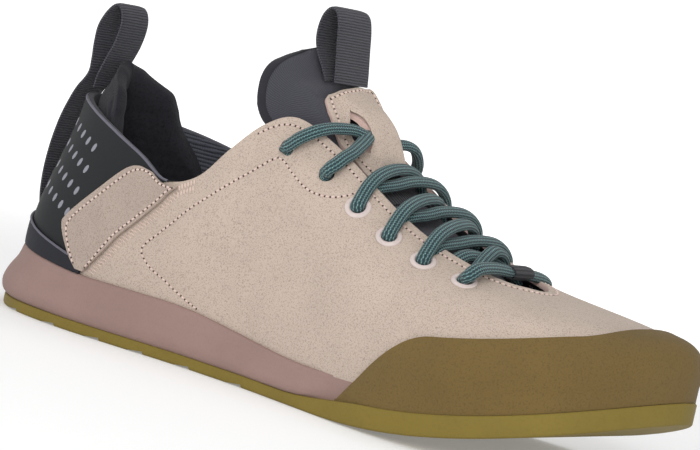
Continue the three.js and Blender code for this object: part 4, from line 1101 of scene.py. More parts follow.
def buildPanel():
    line = np.array(panelFront)
    s, share = onSide("lateral", line[:, 0], line[:, 1])
    order = np.argsort(share)
    levels = np.linspace(0, 1, 40)
    front = np.interp(levels, share[order], s[order])
    front = np.maximum.accumulate(front)
    part = np.linspace(-1, 1, 150)
    s, level = np.meshgrid(part, levels, indexing="ij")
    s = s * front[None, :]
    piece = layOnWall("heel_panel", s, level, panelForm["seat"], panelForm["thickness"], 0.2)
    finishPiece(piece, panelSkin, "counter")
    tree = treeOf(piece)
    centres, tall = [], []
    for side in (-1, 1):
        for startX, startZ in panelForm["dotStarts"]:
            for k in range(panelForm["dotsInRow"]):
                x = startX + k * panelForm["dotPitch"][0]
                z = startZ + k * panelForm["dotPitch"][1]
                sideName = "lateral" if side < 0 else "medial"
                at, level = onSide(sideName, np.array([x]), np.array([z]))
                above = skin(at, level + 0.02)[0]
                centres.append(skin(at, level, 0.8)[0])
                tall.append(above - centres[-1] + np.array([0.35, 0, 0]))
    centres, normals = ontoSurface(tree, np.array(centres), 0.02)
    dots = scatterForms("heel_dots", centres, np.array(tall), normals, panelForm["dotSize"])
    finishPiece(dots, dotPrint, "counter")
    # Piping along the sling's top edge, round behind the heel
    s1 = np.linspace(-5.15, 5.15, 140)
    edge = skin(s1, np.full(s1.shape, 0.992), 0.35)
    piping = tubeAlong("collar_piping", evenCurve(edge[::3], spacing=1.3), 0.5, 12)
    finishPiece(piping, pipingSkin, "padding")


flapRows = np.array([
    (-0.322, 0.238, -0.309, 0.236), (-0.340, 0.290, -0.292, 0.295), (-0.362, 0.378, -0.277, 0.350),
    (-0.358, 0.424, -0.264, 0.402), (-0.318, 0.545, -0.239, 0.478), (-0.284, 0.645, -0.214, 0.560),
    (-0.262, 0.676, -0.201, 0.612), (-0.238, 0.668, -0.190, 0.640),
])


def buildFlap(side):
    rows, across = 70, 34
    fine = splineAt(flapRows, np.linspace(0, len(flapRows) - 1, rows), False)
    rear = onSide(side, fine[:, 0] * length + planShift[0], fine[:, 1] * instep)
    fore = onSide(side, fine[:, 2] * length + planShift[0], fine[:, 3] * instep)
    part = np.linspace(0, 1, across)[:, None]
    s = rear[0][None] * (1 - part) + fore[0][None] * part
    share = rear[1][None] * (1 - part) + fore[1][None] * part
    piece = layOnWall(f"heel_flap_{side}_suede", s, share, 0.75, 1.1, 0.35)
    return finishPiece(piece, flapShadedSuede, "suede", f"heel_flap_{side}"), s, share


# Heel padding: outer rim and quilted inside
padRows = np.array([(0, 1.04, 2.1), (1, 1.01, 2.1), (2, 0.94, 0.3), (3, 0.7, 0.3), (3.4, 0.56, 0.3)])
padForm = {"thickness": 7.5, "bottom": 0.42, "lean": 0.42, "columns": 150, "rows": 60, "dimple": 0.75,
           "dimplePitch": 4.6, "rimDrop": 3.4, "rimDepth": 0.5}


def heelInside(s, z, depth):
    lines = wallLines(s)
    points, lengths = lines
    edgeZ = points[..., -1, 2]
    reached = np.minimum(z, edgeZ)
    after = np.clip((points[..., 2] < reached[..., None]).sum(axis=-1), 1, lineSteps)
    z0, z1 = takeAt(points[..., 2], after - 1), takeAt(points[..., 2], after)
    l0, l1 = takeAt(lengths, after - 1), takeAt(lengths, after)
    part = np.clip((reached - z0) / np.maximum(z1 - z0, 1e-6), 0, 1)
    share = np.minimum((l0 + (l1 - l0) * part) / lengths[..., -1], 0.985)
    point = skin(s, share, -depth)
    over = np.maximum(0, z - point[..., 2])
    lean = padForm["lean"] * over * np.clip(over / 6, 0, 1)
    lifted = point.copy()
    free = z > edgeZ - 1
    lifted[..., 2] = np.where(free, z, point[..., 2])
    lifted[..., 0] = np.where(free, point[..., 0] + lean, point[..., 0])
    return lifted


def buildPadding():
    reach = padRows[-1, 0]
    turn = np.linspace(-1, 1, padForm["columns"] + 1)
    part = np.linspace(0, 1, padForm["rows"] + 1)
    s, level = np.meshgrid(turn * reach, part, indexing="ij")
    top = np.interp(np.abs(s), padRows[:, 0], padRows[:, 1]) * instep
    for step in range(6):
        top[1:-1] = 0.5 * top[1:-1] + 0.25 * (top[:-2] + top[2:])
    gap = np.interp(np.abs(s), padRows[:, 0], padRows[:, 2])
    z = mix(padForm["bottom"] * instep, top, level)
    crown = np.sqrt(np.maximum(0, 1 - np.abs(2 * level - 1) ** 4))
    ends = np.sqrt(np.maximum(0, 1 - np.abs(s / reach) ** 6))
    thickness = 0.6 + (padForm["thickness"] - 0.6) * np.minimum(crown, ends)
    outer = heelInside(s, z, shoe["wall"] + gap)
    inner = heelInside(s, z, shoe["wall"] + gap + thickness)
    # Quilted dimples on the inside, and the seam under the rim
    around = np.cumsum(np.concatenate([[0], np.linalg.norm(np.diff(inner[:, 30], axis=0), axis=1)]))[:, None]
    pitch = padForm["dimplePitch"]
    row = np.floor(z / (pitch * 0.87))
    u = (around + 0.5 * pitch * (row % 2)) / pitch
    v = z / (pitch * 0.87)
    spot = ((u - np.floor(u) - 0.5) ** 2 + (v - np.floor(v) - 0.5) ** 2) * pitch**2
    inward = unit(inner - outer)
    dimple = -padForm["dimple"] * np.exp(-spot / 0.9) * smoothStep(0.88, 0.76, level)
    inner = inner + inward * dimple[..., None]
    rim = padForm["rimDepth"] * np.exp(-((top - z - padForm["rimDrop"]) / 0.7) ** 2)
    rim += padForm["rimDepth"] * 0.7 * np.exp(-((top - z - 2.2 * padForm["rimDrop"]) / 0.7) ** 2)
    outer = outer + inward * rim[..., None]
    shell = np.concatenate([outer, inner[:, ::-1], outer[:, :1]], axis=1)
    piece = layGrid("heel_lining_pad", shell)
    mergePoints(piece, 0.02)
    fillEnds(piece)
    turnFacesOut(piece)
    applyModifier(piece, "SUBSURF", levels=1, render_levels=1)
    smoothFaces(piece, 180)
    finishPiece(piece, liningFleece, "padding", "heel_padding")
    return piece


# Tongue
tongueRows = np.array([
    (0.262, 0.54, 0.2, 0.05), (0.215, 0.58, 0.33, 0.11), (0.163, 0.64, 0.39, 0.15),
                       (0.107, 0.715, 0.42, 0.18),
    (0.056, 0.8, 0.44, 0.22), (0.011, 0.89, 0.46, 0.26), (-0.024, 0.99, 0.455, 0.28),
                       (-0.048, 1.085, 0.48, 0.38),
    (-0.069, 1.17, 0.51, 0.33), (-0.085, 1.235, 0.42, 0.19), (-0.094, 1.268, 0.18, 0.05),
]) * np.array([length, instep, halfBall, halfBall])
tongueForm = {"thickness": 4, "along": 150, "across": 64, "binding": 1.5, "bend": 3.0, "nearDrop": 0.55,
              "farDrop": 0.3, "swell": 1.6}


def frontNormal(ahead):
    normal = unit(np.stack([-ahead[..., 1], ahead[..., 0]], axis=-1))
    wrong = (normal[..., 0] < 0) & (normal[..., 1] < 0)
    return np.where(wrong[..., None], -normal, normal)


# Direction of a middle line in the XZ plane, and its points raised along the front's normal
def rowDirection(rows, place):
    return splineAt(rows, place + 0.02, False)[..., :2] - splineAt(rows, place - 0.02, False)[..., :2]


def raisedFrom(row, normal, down, y):
    points = [row[..., 0] + normal[..., 0] * down, y, row[..., 1] + normal[..., 1] * down]
    return np.stack(points, axis=-1) + planShift


# A point over the tongue's face: place along its rows, y from its middle, height above it
def tongueFace(place, y, height=0.0):
    place, y = np.broadcast_arrays(np.asarray(place, float), np.asarray(y, float))
    row = splineAt(tongueRows, place, False)
    ahead = rowDirection(tongueRows, place)
    normal = frontNormal(ahead)
    part = smoothStep(6.4, 5.2, place)
    bend = mix(2.0, tongueForm["bend"], part)
    far = smoothStep(-14, 0, y)
    drop = row[..., 3] * mix(1.0, mix(tongueForm["nearDrop"], tongueForm["farDrop"], far), part)
    swell = tongueForm["swell"] * smoothStep(0.4, 1.6, place) * smoothStep(6.2, 5.0, place) * far
    down = height + swell - drop * np.abs(y / row[..., 2]) ** bend
    return raisedFrom(row, normal, down, y)


tapeForm = {"from": 3.55, "to": 3.92, "halfWidth": 14}


def buildTongue():
    last = len(tongueRows) - 1
    place, turn = np.meshgrid(np.linspace(0, last, tongueForm["along"]),
                              np.linspace(-1, 1, tongueForm["across"]), indexing="ij")
    halfWidth = splineAt(tongueRows, place, False)[..., 2]
    capStart = last - 2.4
    cap = np.sqrt(np.clip(1 - np.clip((place - capStart) / 2.4, 0, 1) ** 2.6, 0.0, 1))
    halfWidth = np.where(place > capStart,
                         splineAt(tongueRows, np.full(place.shape, capStart), False)[..., 2] * cap,
                         halfWidth)
    y = turn * np.maximum(halfWidth, 0.05)
    edge = np.minimum(1 - np.abs(turn) ** 8, smoothStep(last + 0.05, last - 0.25, place))
    front = tongueFace(place, y, underPatch(place, y) - 0.9 * (1 - edge))
    backHeight = -tongueForm["thickness"] * (0.35 + 0.65 * np.sqrt(np.clip(edge, 0, 1)))
    back = tongueFace(place, y, backHeight)
    shell = np.concatenate([front, back[:, ::-1], front[:, :1]], axis=1)
    piece = layGrid("tongue_cloth", shell)
    mergePoints(piece, 0.02)
    fillEnds(piece)
    turnFacesOut(piece)
    smoothFaces(piece, 60)
    finishPiece(piece, twill, "tongue_cloth", "tongue")
    # Flat binding over the edge, from the throat round the top
    step = 5
    outline = np.concatenate([front[60:-1:step, 0], front[-1, 2:-2:step], front[60:-1:step, -1][::-1]])
    inner = np.concatenate([front[60:-1:step, 3], front[-4, 2:-2:step], front[60:-1:step, -4][::-1]])
    path = evenCurve(np.concatenate([outline, inner], axis=1), spacing=1.8)
    line, inward = path[:, :3], unit(path[:, 3:] - path[:, :3])
    line = line + inward * 1.05
    ahead = unit(np.gradient(line, axis=0))
    upward = unit(np.cross(ahead, inward))
    upward = upward * np.sign((upward * np.array([1.0, 0, 1.0])).sum(axis=1).mean())
    rim = tubeAlong("tongue_binding", line, tongueForm["binding"], 14, 0.42, upward)
    finishPiece(rim, binding, "tongue_cloth")
    # Ribbed tape sewn across the tongue below the patch
    place, y = np.meshgrid(np.linspace(tapeForm["from"], tapeForm["to"], 9), np.linspace(-1, 1, 30),
                           indexing="ij")
    y = y * tapeForm["halfWidth"]
    points = tongueFace(place, y, underPatch(place, y) + 0.9)
    tape = layGrid("tongue_tape", points, None, lambda centres: np.array([[0.6, 0, 0.6]]))
    applyModifier(tape, "SOLIDIFY", thickness=1.2 * mm, offset=-1)
    applyModifier(tape, "BEVEL", width=0.3 * mm, segments=2, limit_method="ANGLE",
                  angle_limit=math.radians(50))
    smoothFaces(tape, 40)
    finishPiece(tape, blackWebbing, "webbing")
    return piece


# Suede patch that holds the laces on the tongue
patchRows = np.array([
    (-0.0455, 1.13, 0.3, 0.03), (-0.026, 1.105, 0.3, 0.04), (-0.002, 1.062, 0.3, 0.05),
    (0.019, 1, 0.3, 0.05), (0.036, 0.93, 0.3, 0.05), (0.05, 0.858, 0.31, 0.06),
]) * np.array([length, instep, halfBall, halfBall])
# By place down the patch, from its top: half width on each side, rise of the middle, fall of
# the side strips that the laces press down, and lean of each side
patchForm = {
    "near": (12.0, 13.3, 13.9, 14.1, 12.6, 9.8),
    "far": (12.7, 13.3, 13.6, 13.8, 13.0, 12.0),
    "rise": (0.9, 0.6, 1.3, 1.8, 1.0, 0.0),
    "fallNear": (0.0, 1.5, 3.5, 4.3, 2.8, 1.2),
    "fallFar": (0.0, 1.5, 4.0, 5.5, 5.0, 3.0),
    "leanNear": (0.2, 0.2, 0.16, 0.15, 0.14, 0.14),
    "leanFar": (0.24, 0.2, 0.22, 0.28, 0.3, 0.32),
    "thickness": 1.5, "slotSpan": (1.4, 3.8), "slotIn": 6.0, "slotOut": 9.3, "pocket": 4.4,
}


# A point of the patch: place along its rows and y across it, offset outward
def patchFace(place, y, height=0.0):
    place, y = np.broadcast_arrays(np.asarray(place, float), np.asarray(y, float))
    row = splineAt(patchRows, place, False)
    ahead = rowDirection(patchRows, place)
    normal = frontNormal(-ahead)
    level = {}
    for key in ("rise", "fallNear", "fallFar", "leanNear", "leanFar"):
        values = np.array(patchForm[key])[:, None]
        level[key] = splineAt(values, np.clip(place, 0, 5), False)[..., 0]
    near = y < 0
    lean = np.where(near, level["leanNear"], level["leanFar"]) * y
    fall = np.where(near, level["fallNear"], level["fallFar"]) * smoothStep(5.5, 10, np.abs(y))
    rise = level["rise"] * smoothStep(9, 4, np.abs(y))
    down = height + lean + rise - fall - row[..., 3] * (y / 14.5) ** 2
    return raisedFrom(row, normal, down, y)


patchMarks = np.linspace(0, 5, 120)
patchLine = splineAt(patchRows, patchMarks, False)[:, :2]


# How far the tongue's face swells to meet the patch, less the hollow where the laces pass
def underPatch(place, y):
    row = splineAt(tongueRows, place, False)
    away = ((row[..., None, :2] - patchLine) ** 2).sum(axis=-1)
    nearest = patchMarks[np.argmin(away, axis=-1)]
    plain = tongueFace(place, y)
    ahead = rowDirection(tongueRows, place)
    normal = frontNormal(ahead)
    gap = patchFace(nearest, y) - plain
    gap = gap[..., 0] * normal[..., 0] + gap[..., 2] * normal[..., 1]
    hollow = patchForm["pocket"] * smoothStep(10, 7, np.abs(y)) * smoothStep(0.7, 1.5, nearest)
    hollow = hollow * smoothStep(4.7, 4.0, nearest)
    ends = smoothStep(5.0, 5.9, place) * smoothStep(8.1, 7.35, place)
    sides = smoothStep(18.5, 13.5, np.abs(y))
    return (gap - patchForm["thickness"] - 0.25 - hollow) * ends * sides


def buildPatch():
    rows, across = 70, 64
    place, turn = np.meshgrid(np.linspace(0, 5, rows), np.linspace(-1, 1, across), indexing="ij")
    knots = np.arange(6)
    half = np.where(turn < 0, np.interp(place, knots, patchForm["near"]),
                    np.interp(place, knots, patchForm["far"]))
    half = half - 1.6 * np.clip(1 - place / 0.3, 0, 1) ** 2 - 1.6 * np.clip(1 - (5 - place) / 0.3, 0, 1) ** 2
    y = turn * half
    place = place - 0.16 * smoothStep(3.5, 5, place) * smoothStep(-8, 12, y) * 2
    points = patchFace(place, y)
    piece = layGrid("keeper_patch", points, None, lambda centres: np.array([[0.6, 0, 0.6]]))
    piece.data.materials.append(suede)
    piece.data.materials.append(suedeEdge)
    applyModifier(piece, "SOLIDIFY", thickness=patchForm["thickness"] * mm, offset=-1, material_offset=1,
                  material_offset_rim=1)
    cutters = []
    low, high = patchForm["slotSpan"]
    middle = (low + high) / 2
    for side in (-1, 1):
        turns = np.linspace(0, 2 * math.pi, 49)
        along = middle + (high - low) / 2 * np.cos(turns)
        inner = patchForm["slotIn"] + 1.6 * np.abs(np.cos(turns)) ** 2.5
        outer = patchForm["slotOut"] - 1.4 * np.abs(np.cos(turns)) ** 2.5
        outer = outer - 0.7 * np.clip(-np.cos(turns), 0, 1)
        y = side * np.where(np.sin(turns) > 0, mix(7.4, outer, np.abs(np.sin(turns)) ** 0.6),
                            mix(7.4, inner, np.abs(np.sin(turns)) ** 0.6))
        ring = np.stack([patchFace(along, y, level) for level in (-6.0, 0.0, 4.0)], axis=1)
        cutter = layGrid("slotForm", ring)
        mergePoints(cutter, 0.005)
        fillEnds(cutter)
        turnFacesOut(cutter)
        cutters.append(cutter)
    cutter = joinPieces(cutters, "slotCutter")
    cutter.data.materials.append(suedeEdge)
    applyModifier(piece, "BOOLEAN", operation="DIFFERENCE", object=cutter, solver="EXACT", use_self=True)
    bpy.data.objects.remove(cutter)
    applyModifier(piece, "BEVEL", width=0.3 * mm, segments=2, limit_method="ANGLE",
                  angle_limit=math.radians(50))
    smoothFaces(piece, 40)
    return finishPiece(piece, suede, "suede", "tongue_keeper")


# Stitch rows near the patch's top, sides and foot
def patchSeams():
    rows = []
    span = np.linspace(-1, 1, 24)
    rows.append(patchFace(np.full(24, 0.3), span * 10.8, 1.0))
    for side, key in ((-1, "near"), (1, "far")):
        place = np.linspace(0.4, 4.6, 40)
        half = np.interp(place, np.arange(6), patchForm[key]) - 1.7
        rows.append(patchFace(place, side * half, 1.0))
    y = np.linspace(-9, 10.5, 20)
    rows.append(patchFace(4.72 - 0.3 * smoothStep(-8, 12, y), y, 1.0))
    return rows


# Webbing bands along lines in the XZ plane, in shares of length and instep height
webbingForm = {"thickness": 1.5, "heelWidth": 15, "tongueWidth": 20, "keeperWidth": 12}
heelStrapLine = [
    (-0.4812, 0.4), (-0.4855, 0.465), (-0.487, 0.55), (-0.4845, 0.65), (-0.4775, 0.755), (-0.4675, 0.84),
    (-0.459, 0.893), (-0.4505, 0.928), (-0.4445, 0.965), (-0.4445, 1.02), (-0.446, 1.085), (-0.4445, 1.15),
    (-0.434, 1.212), (-0.421, 1.244), (-0.411, 1.222), (-0.4075, 1.17), (-0.412, 1.095), (-0.422, 1.02),
    (-0.43, 0.95), (-0.432, 0.905),
]
tongueLoopLine = [
    (-0.0455, 1.15), (-0.048, 1.2), (-0.053, 1.28), (-0.0575, 1.355), (-0.0635, 1.404), (-0.0735, 1.42),
    (-0.083, 1.392), (-0.0872, 1.343), (-0.0862, 1.29), (-0.079, 1.24), (-0.0685, 1.195), (-0.0595, 1.1505),
]


def webbingBand(name, line, width, middleY=0.0, sides=9, spacing=0.9, thick=webbingForm["thickness"]):
    path = evenCurve(line, spacing=spacing)
    ahead = unit(np.gradient(path, axis=0))
    normal = np.stack([-ahead[:, 1], ahead[:, 0]], axis=1)
    # Rounded flat section, front then back
    edge = np.linspace(-1, 1, sides)
    bulge = thick / 2 * (1 - np.abs(edge) ** 6 * 0.55)
    ring = [(y * width / 2, b) for y, b in zip(edge, bulge)] + [(y * width / 2, -b) for y, b in
                                                                zip(edge[::-1], bulge[::-1])]
    ring.append(ring[0])
    ring = np.array(ring)
    points = np.zeros((len(ring), len(path), 3))
    points[..., 0] = path[None, :, 0] + normal[None, :, 0] * ring[:, 1:2]
    points[..., 2] = path[None, :, 1] + normal[None, :, 1] * ring[:, 1:2]
    points[..., 1] = middleY + ring[:, 0:1]
    points = points + planShift
    piece = layGrid(name, points)
    mergePoints(piece, 0.01)
    fillEnds(piece)
    turnFacesOut(piece)
    smoothFaces(piece, 60)
    return piece


def buildWebbing():
    scale = np.array([length, instep])
    strap = webbingBand("heel_pull_strap", np.array(heelStrapLine) * scale, webbingForm["heelWidth"])
    finishPiece(strap, webbing, "webbing", "heel_strap")
    loop = webbingBand("tongue_pull_webbing", np.array(tongueLoopLine) * scale, webbingForm["tongueWidth"])
    finishPiece(loop, webbing, "webbing", "tongue_pull_loop")


# Eyelets: one rolled ring, copied to each of the four lower holes of a side
eyeletForm = {"outer": 4.45, "bore": 2.65, "flange": 0.7, "seat": 0.05}


def buildEyelets():
    outer, bore, flange = eyeletForm["outer"], eyeletForm["bore"], eyeletForm["flange"]
    profile = np.array([(bore - 0.1, -2.0), (bore - 0.1, -0.4), (bore, 0.25), (bore + 0.35, flange * 0.85),
                        (bore + 0.9, flange), (outer - 0.75, flange * 0.8), (outer - 0.15, flange * 0.35),
                        (outer, -0.1)])
    smoothProfile = splineAt(profile, np.linspace(0, len(profile) - 1, 22), False)
    turns = np.linspace(0, 2 * math.pi, 41)
    points = np.stack([np.cos(turns)[:, None] * smoothProfile[:, 0],
                       np.sin(turns)[:, None] * smoothProfile[:, 0],
                       np.ones(41)[:, None] * smoothProfile[:, 1]], axis=2)
    template = layGrid("ringTemplate", points, None, lambda centres: np.array([[0, 0, 1.0]]))
    mergePoints(template, 0.005)
    applyModifier(template, "SOLIDIFY", thickness=0.25 * mm, offset=-1)
    form = pointsOf(template)
    for side in ("lateral", "medial"):
        for number in range(1, 5):
            point, normal = holeFrame(side, number)[2:]
            ring = bpy.data.objects.new(f"eyelet_ring_{side}_{number}", template.data.copy())
            bpy.context.scene.collection.objects.link(ring)
            right = unit(np.cross(normal, [0, 0, 1.0]))
            ahead = np.cross(normal, right)
            seat = point + normal * eyeletForm["seat"]
            setPoints(ring, seat + form[:, 0:1] * right + form[:, 1:2] * ahead + form[:, 2:3] * normal)
            turnFacesOut(ring)
            smoothFaces(ring, 50)
            finishPiece(ring, eyeletCoat, "eyelet", f"eyelet_{side}_{number}")
    bpy.data.objects.remove(template)


# Laces: a front bar and five crossings of one flat-oval cord, through the holes
laceForm = {"width": 5.0, "thickness": 3.4, "sides": 28, "spacing": 0.7}
# Steps of a strand from its own hole: along the shoe, towards the other side, and up
overStrand = [(0.2, 1.4, 4.0), (0.1, 4.0, 7.3), (-0.2, 8.2, 10.3), (-0.8, 14.0, 12.3), (-1.6, 20.2, 13.3),
              (-3.0, 27.2, 13.4), (-5.0, 34.6, 12.1), (-6.6, 39.6, 9.7), (-7.2, 42.6, 5.4), (-7.4, 43.6, 1.5)]
underStrand = [(2.3, 1.0, 3.8), (2.7, 4.8, 7.2), (2.5, 10.5, 9.5), (2.5, 18.5, 10.1), (2.3, 27.0, 9.6),
               (2.0, 35.0, 8.0), (1.0, 41.0, 7.0), (-0.4, 45.0, 5.8), (-1.3, 47.5, 3.0), (-1.6, 48.5, -0.5)]
overScale = {2: (1.1, 0.95), 3: (1.1, 1.0), 4: (0.5, 1.05)}
underScale = {2: (0.3, 0.76), 3: (0.9, 0.98), 4: (1.1, 1.1)}
# The front pair, the bar and the last pair, in the centred frame
frontUnder = [(58.3, 20, 53), (57, 15.5, 56.5), (55.4, 8, 59.3), (54.8, 0, 60.3), (53.8, -7, 60.8),
              (53.1, -11.5, 59.6),
              (52.6, -15, 57.2), (52, -18.5, 54)]
frontOver = [(61, -17.5, 51.5), (60.2, -13, 54.6), (59.2, -9, 57.6), (57.8, -3, 61.0), (56.8, 3, 63.2),
             (56.2, 9, 62.4), (55.4, 13.5, 59.6), (54.3, 17.5, 56)]
frontBar = [(66.3, -25.6, 56.2), (67.3, -22, 58.7), (67.6, -13, 59.4), (68.3, -5, 58.9), (68.6, 2, 58.5),
            (68.8, 9, 58.1), (68.7, 16, 57.4), (67.9, 21.5, 56.2), (65.9, 25.6, 54.8)]
lastFromSix = [(-11.0, -28.6, 83.4), (-8.2, -28.2, 86.0), (-4.3, -25.6, 89.2), (-2.2, -21.0, 90.9),
               (-0.3, -16.5, 91.6),
               (1.8, -12.0, 91.8), (3.8, -8.5, 90.8), (4.8, -3.5, 89.2), (5.6, 2, 88.8), (7.2, 7, 89.4),
               (8.6, 12, 89.6), (9.0, 16.5, 88.2), (8.0, 21, 84.8), (5.6, 24.8, 81.0)]
lastFromFive = [(5.6, -27.8, 78.4), (7.0, -26.4, 80.4), (7.5, -23.6, 82.6), (7.8, -19.5, 84.8),
                (6.7, -14.2, 87.4),
                (5.3, -9.2, 89.9), (2.6, -4.0, 91.2), (0.4, 2.0, 92.2), (-1.2, 8, 93.6), (-3.4, 14, 94.0),
                (-7.0, 19.5, 91.6), (-11.2, 24.4, 87.0)]


def holeStart(side, number):
    s, _, point, normal = holeFrame(side, number)
    toEdge = unit(openingEdge(s) - point)
    back = toEdge * (0.9 if number == 6 else 0.0)
    return [point - normal * 4.6 - toEdge * 1.2, point - normal * 1.2 - toEdge * 0.4 - back,
            point + normal - back]


def strandFrom(side, number, steps, scale):
    point = holeFrame(side, number)[2]
    across = 1 if side == "lateral" else -1
    drift, lift = scale[number]
    route = [point + np.array([x * drift, y * across, z * lift]) for x, y, z in steps]
    return holeStart(side, number) + route


def cordPiece(name, path):
    path = evenCurve(path, spacing=laceForm["spacing"])
    outward = path - np.stack([path[:, 0] - 12, 0 * path[:, 1], 0.86 * path[:, 2] - 14], axis=1)
    piece = tubeAlong(name, path, laceForm["width"] / 2, laceForm["sides"],
                      laceForm["thickness"] / laceForm["width"], unit(outward))
    return piece


def buildLaces():
    bar = holeStart("lateral", 1) + frontBar + holeStart("medial", 1)[::-1]
    piece = cordPiece("lace_front_bar", bar)
    finishPiece(piece, lace, "lace", "lace_bar")
    pairs = {
        1: [frontUnder, frontOver],
        5: [holeStart("lateral", 6) + lastFromSix + holeStart("medial", 5)[::-1],
            holeStart("lateral", 5) + lastFromFive + holeStart("medial", 6)[::-1]],
    }
    for gap in (2, 3, 4):
        pairs[gap] = [strandFrom("lateral", gap, overStrand, overScale),
                      strandFrom("medial", gap, underStrand, underScale)]
    for gap in sorted(pairs):
        tubes = [cordPiece(f"lace_{gap}_{k}", path) for k, path in enumerate(pairs[gap])]
        piece = joinPieces(tubes, f"lace_pair_{gap}")
        finishPiece(piece, lace, "lace", f"lace_crossing_{gap}")
    middle = np.array([68.45, 0.5, 58.65]) - planShift
    wide = laceForm["width"] / 2 + 0.35
    tall = laceForm["thickness"] / 2 + 0.35
    turns = np.linspace(-0.35 * math.pi, 1.75 * math.pi, 25)
    line = [(middle[0] + math.sin(t) * wide, middle[2] + math.cos(t) * tall) for t in turns + math.pi]
    keeper = webbingBand("lace_keeper_loop", np.array(line), webbingForm["keeperWidth"], 1.8, 9, 0.3, 0.9)
    finishPiece(keeper, blackWebbing, "webbing", "lace_keeper")


# White floor and surroundings, brightest at the horizon, and three soft lights
light = {"sky": 0.45, "horizon": 1.02, "key": 9.4, "fill": 2.5, "top": 5.0, "floor": 0.8, "floorGlow": 0.2}


def addStage():
    deselectAll()
    bpy.ops.mesh.primitive_plane_add(size=16, location=(0, 0, 0))
    floor = bpy.context.object
    floor.name = "studioFloor"
    material, tree, shader = newMaterial("floorPaint", 0.9, 0, 0, 0.1)
    shader.inputs["Base Color"].default_value = (light["floor"], light["floor"], light["floor"], 1)
    shader.inputs["Emission Color"].default_value = (1, 1, 1, 1)
    place = addNode(tree, "ShaderNodeTexCoord").outputs["Object"]
    away = addNode(tree, "ShaderNodeVectorMath", {"operation": "LENGTH"})
    tree.links.new(place, away.inputs[0])
    glow = addNode(tree, "ShaderNodeMapRange", {"interpolation_type": "SMOOTHSTEP"},
                   {"From Min": 0.22, "From Max": 0.8, "To Min": light["floorGlow"], "To Max": 0.8})
    tree.links.new(away.outputs["Value"], glow.inputs["Value"])
    tree.links.new(glow.outputs[0], shader.inputs["Emission Strength"])
    floor.data.materials.append(material)
    bpy.context.scene.view_settings.view_transform = "Standard"
    world = bpy.context.scene.world or bpy.data.worlds.new("studio")
    bpy.context.scene.world = world
    world.use_nodes = True
    tree = world.node_tree
    back = tree.nodes.get("Background") or tree.nodes.new("ShaderNodeBackground")
    back.inputs[0].default_value = (1, 1, 1, 1)
    parts = addNode(tree, "ShaderNodeSeparateXYZ")
    tree.links.new(addNode(tree, "ShaderNodeTexCoord").outputs["Generated"], parts.inputs[0])
    level = addNode(tree, "ShaderNodeMapRange", {"interpolation_type": "SMOOTHSTEP"},
                    {"From Min": 0.12, "From Max": 0.4, "To Min": light["horizon"], "To Max": light["sky"]})
    tree.links.new(parts.outputs[2], level.inputs["Value"])
    tree.links.new(level.outputs[0], back.inputs[1])
    for name, place, size, power in (
            ("keyLight", (0.6, -1.05, 0.7), 0.8, light["key"]),
            ("fillLight", (-1.0, -0.7, 0.8), 1.0, light["fill"]),
            ("topLight", (0.1, 0.3, 1.5), 1.2, light["top"])):
        deselectAll()
        bpy.ops.object.light_add(type="AREA", location=place)
        lamp = bpy.context.object
        lamp.name = name
        lamp.data.size = size
        lamp.data.energy = power
        lamp.rotation_euler = (Vector(place) - Vector((0, 0, 0.05))).to_track_quat("Z", "Y").to_euler()


def wallPath(side, line):
    x = np.array([p[0] for p in line])
    z = np.array([p[1] for p in line])
    s, share = onSide(side, x, z)
    return skin(s, share, 0.5)


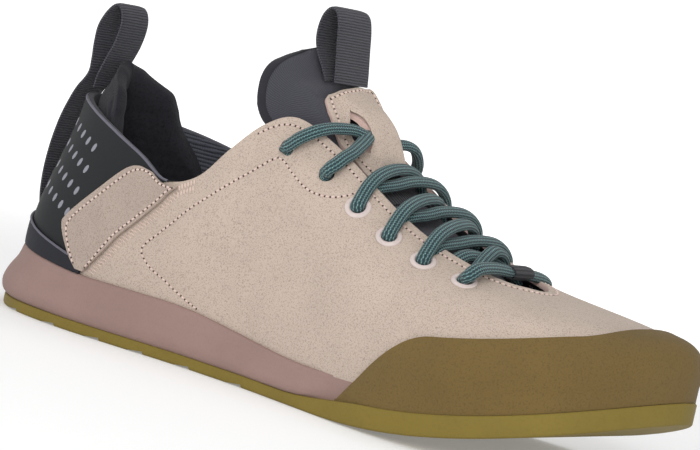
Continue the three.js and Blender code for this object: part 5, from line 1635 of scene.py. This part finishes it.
# Fine zig-zag along the seam in front of a flap, and the bar-tack at its top
def sewZigzag(side, s, share, tree):
    ahead = 1 if side == "lateral" else -1
    seam = evenCurve(skin(s[-1, 2:-4], share[-1, 2:-4], 0.5), spacing=0.75)
    count = len(seam)
    shift = np.where(np.arange(count) % 2 == 0, 1.3, 2.5)[:, None] * np.array([0.79, 0, -0.61])
    marks, normals = ontoSurface(tree, seam + shift, 0.05)
    along = np.tile([0.8, 0.0, -0.6], (count, 1)) + 0.25 * np.array([0, 0, 1.0])
    band = scatterForms(f"zigzag_{side}", marks, along, normals, (2.2, 0.42, 0.5))
    finishPiece(band, thread, "suede")
    top = skin(s[-1, -5], share[-1, -5], 0.5)
    spots = top + np.array([[1.0 + 1.15 * k + 0.5 * row, 0.0, 0.9 + 0.7 * k - 2.2 * row]
                            for row in range(2) for k in range(6)])
    marks, normals = ontoSurface(tree, spots, 0.1)
    along = np.tile([-0.45 * ahead, 0.0, 1.0], (len(spots), 1))
    tack = scatterForms(f"bar_tack_{side}", marks, along, normals, (2.0, 0.62, 0.6))
    finishPiece(tack, thread, "suede")


def sewShoe(upperPiece, flaps, patchPiece):
    tree = treeOf(upperPiece)
    paths = []
    for side, first, last in (("lateral", 7.9, 17.9), ("medial", 18.1, 28.1)):
        s = np.linspace(first, last, 60)
        share = 1 - 3.2 / wallTotal(s)
        paths.append(skin(s, share, 0.5))
    sewRows("edge_stitches", paths, tree, thread)
    sewRows("quarter_stitches", [wallPath("lateral", quarterLine), wallPath("medial", quarterLine)], tree,
            thread)
    for side, (flap, s, share) in flaps.items():
        flapTree = treeOf(flap)
        inset = 4
        ring = [(inset, j) for j in range(inset, s.shape[1] - inset)]
        ring += [(i, s.shape[1] - inset) for i in range(inset, s.shape[0] - inset)]
        path = np.array([skin(s[i, j], share[i, j], 1.8) for i, j in ring[::3]])
        front = np.array([skin(s[-3, j], share[-3, j], 1.8) for j in range(3, s.shape[1] - 2, 3)])
        sewRows(f"flap_stitches_{side}", [path, front], flapTree, thread)
        sewZigzag(side, s, share, tree)
    sewRows("patch_stitches", patchSeams(), treeOf(patchPiece), thread)


addCamera()
addStage()
print("camera and stage")
upperPiece = buildUpper()
print("upper")
buildOutsole()
buildMidsole()
buildInsole()
print("sole")
buildRand()
buildCounter()
buildPanel()
flaps = {side: buildFlap(side) for side in ("lateral", "medial")}
print("rand and heel")
buildPadding()
buildTongue()
patchPiece = buildPatch()
buildWebbing()
print("soft pieces")
buildEyelets()
buildLaces()
print("laces")
sewShoe(upperPiece, flaps, patchPiece)
print("stitches")
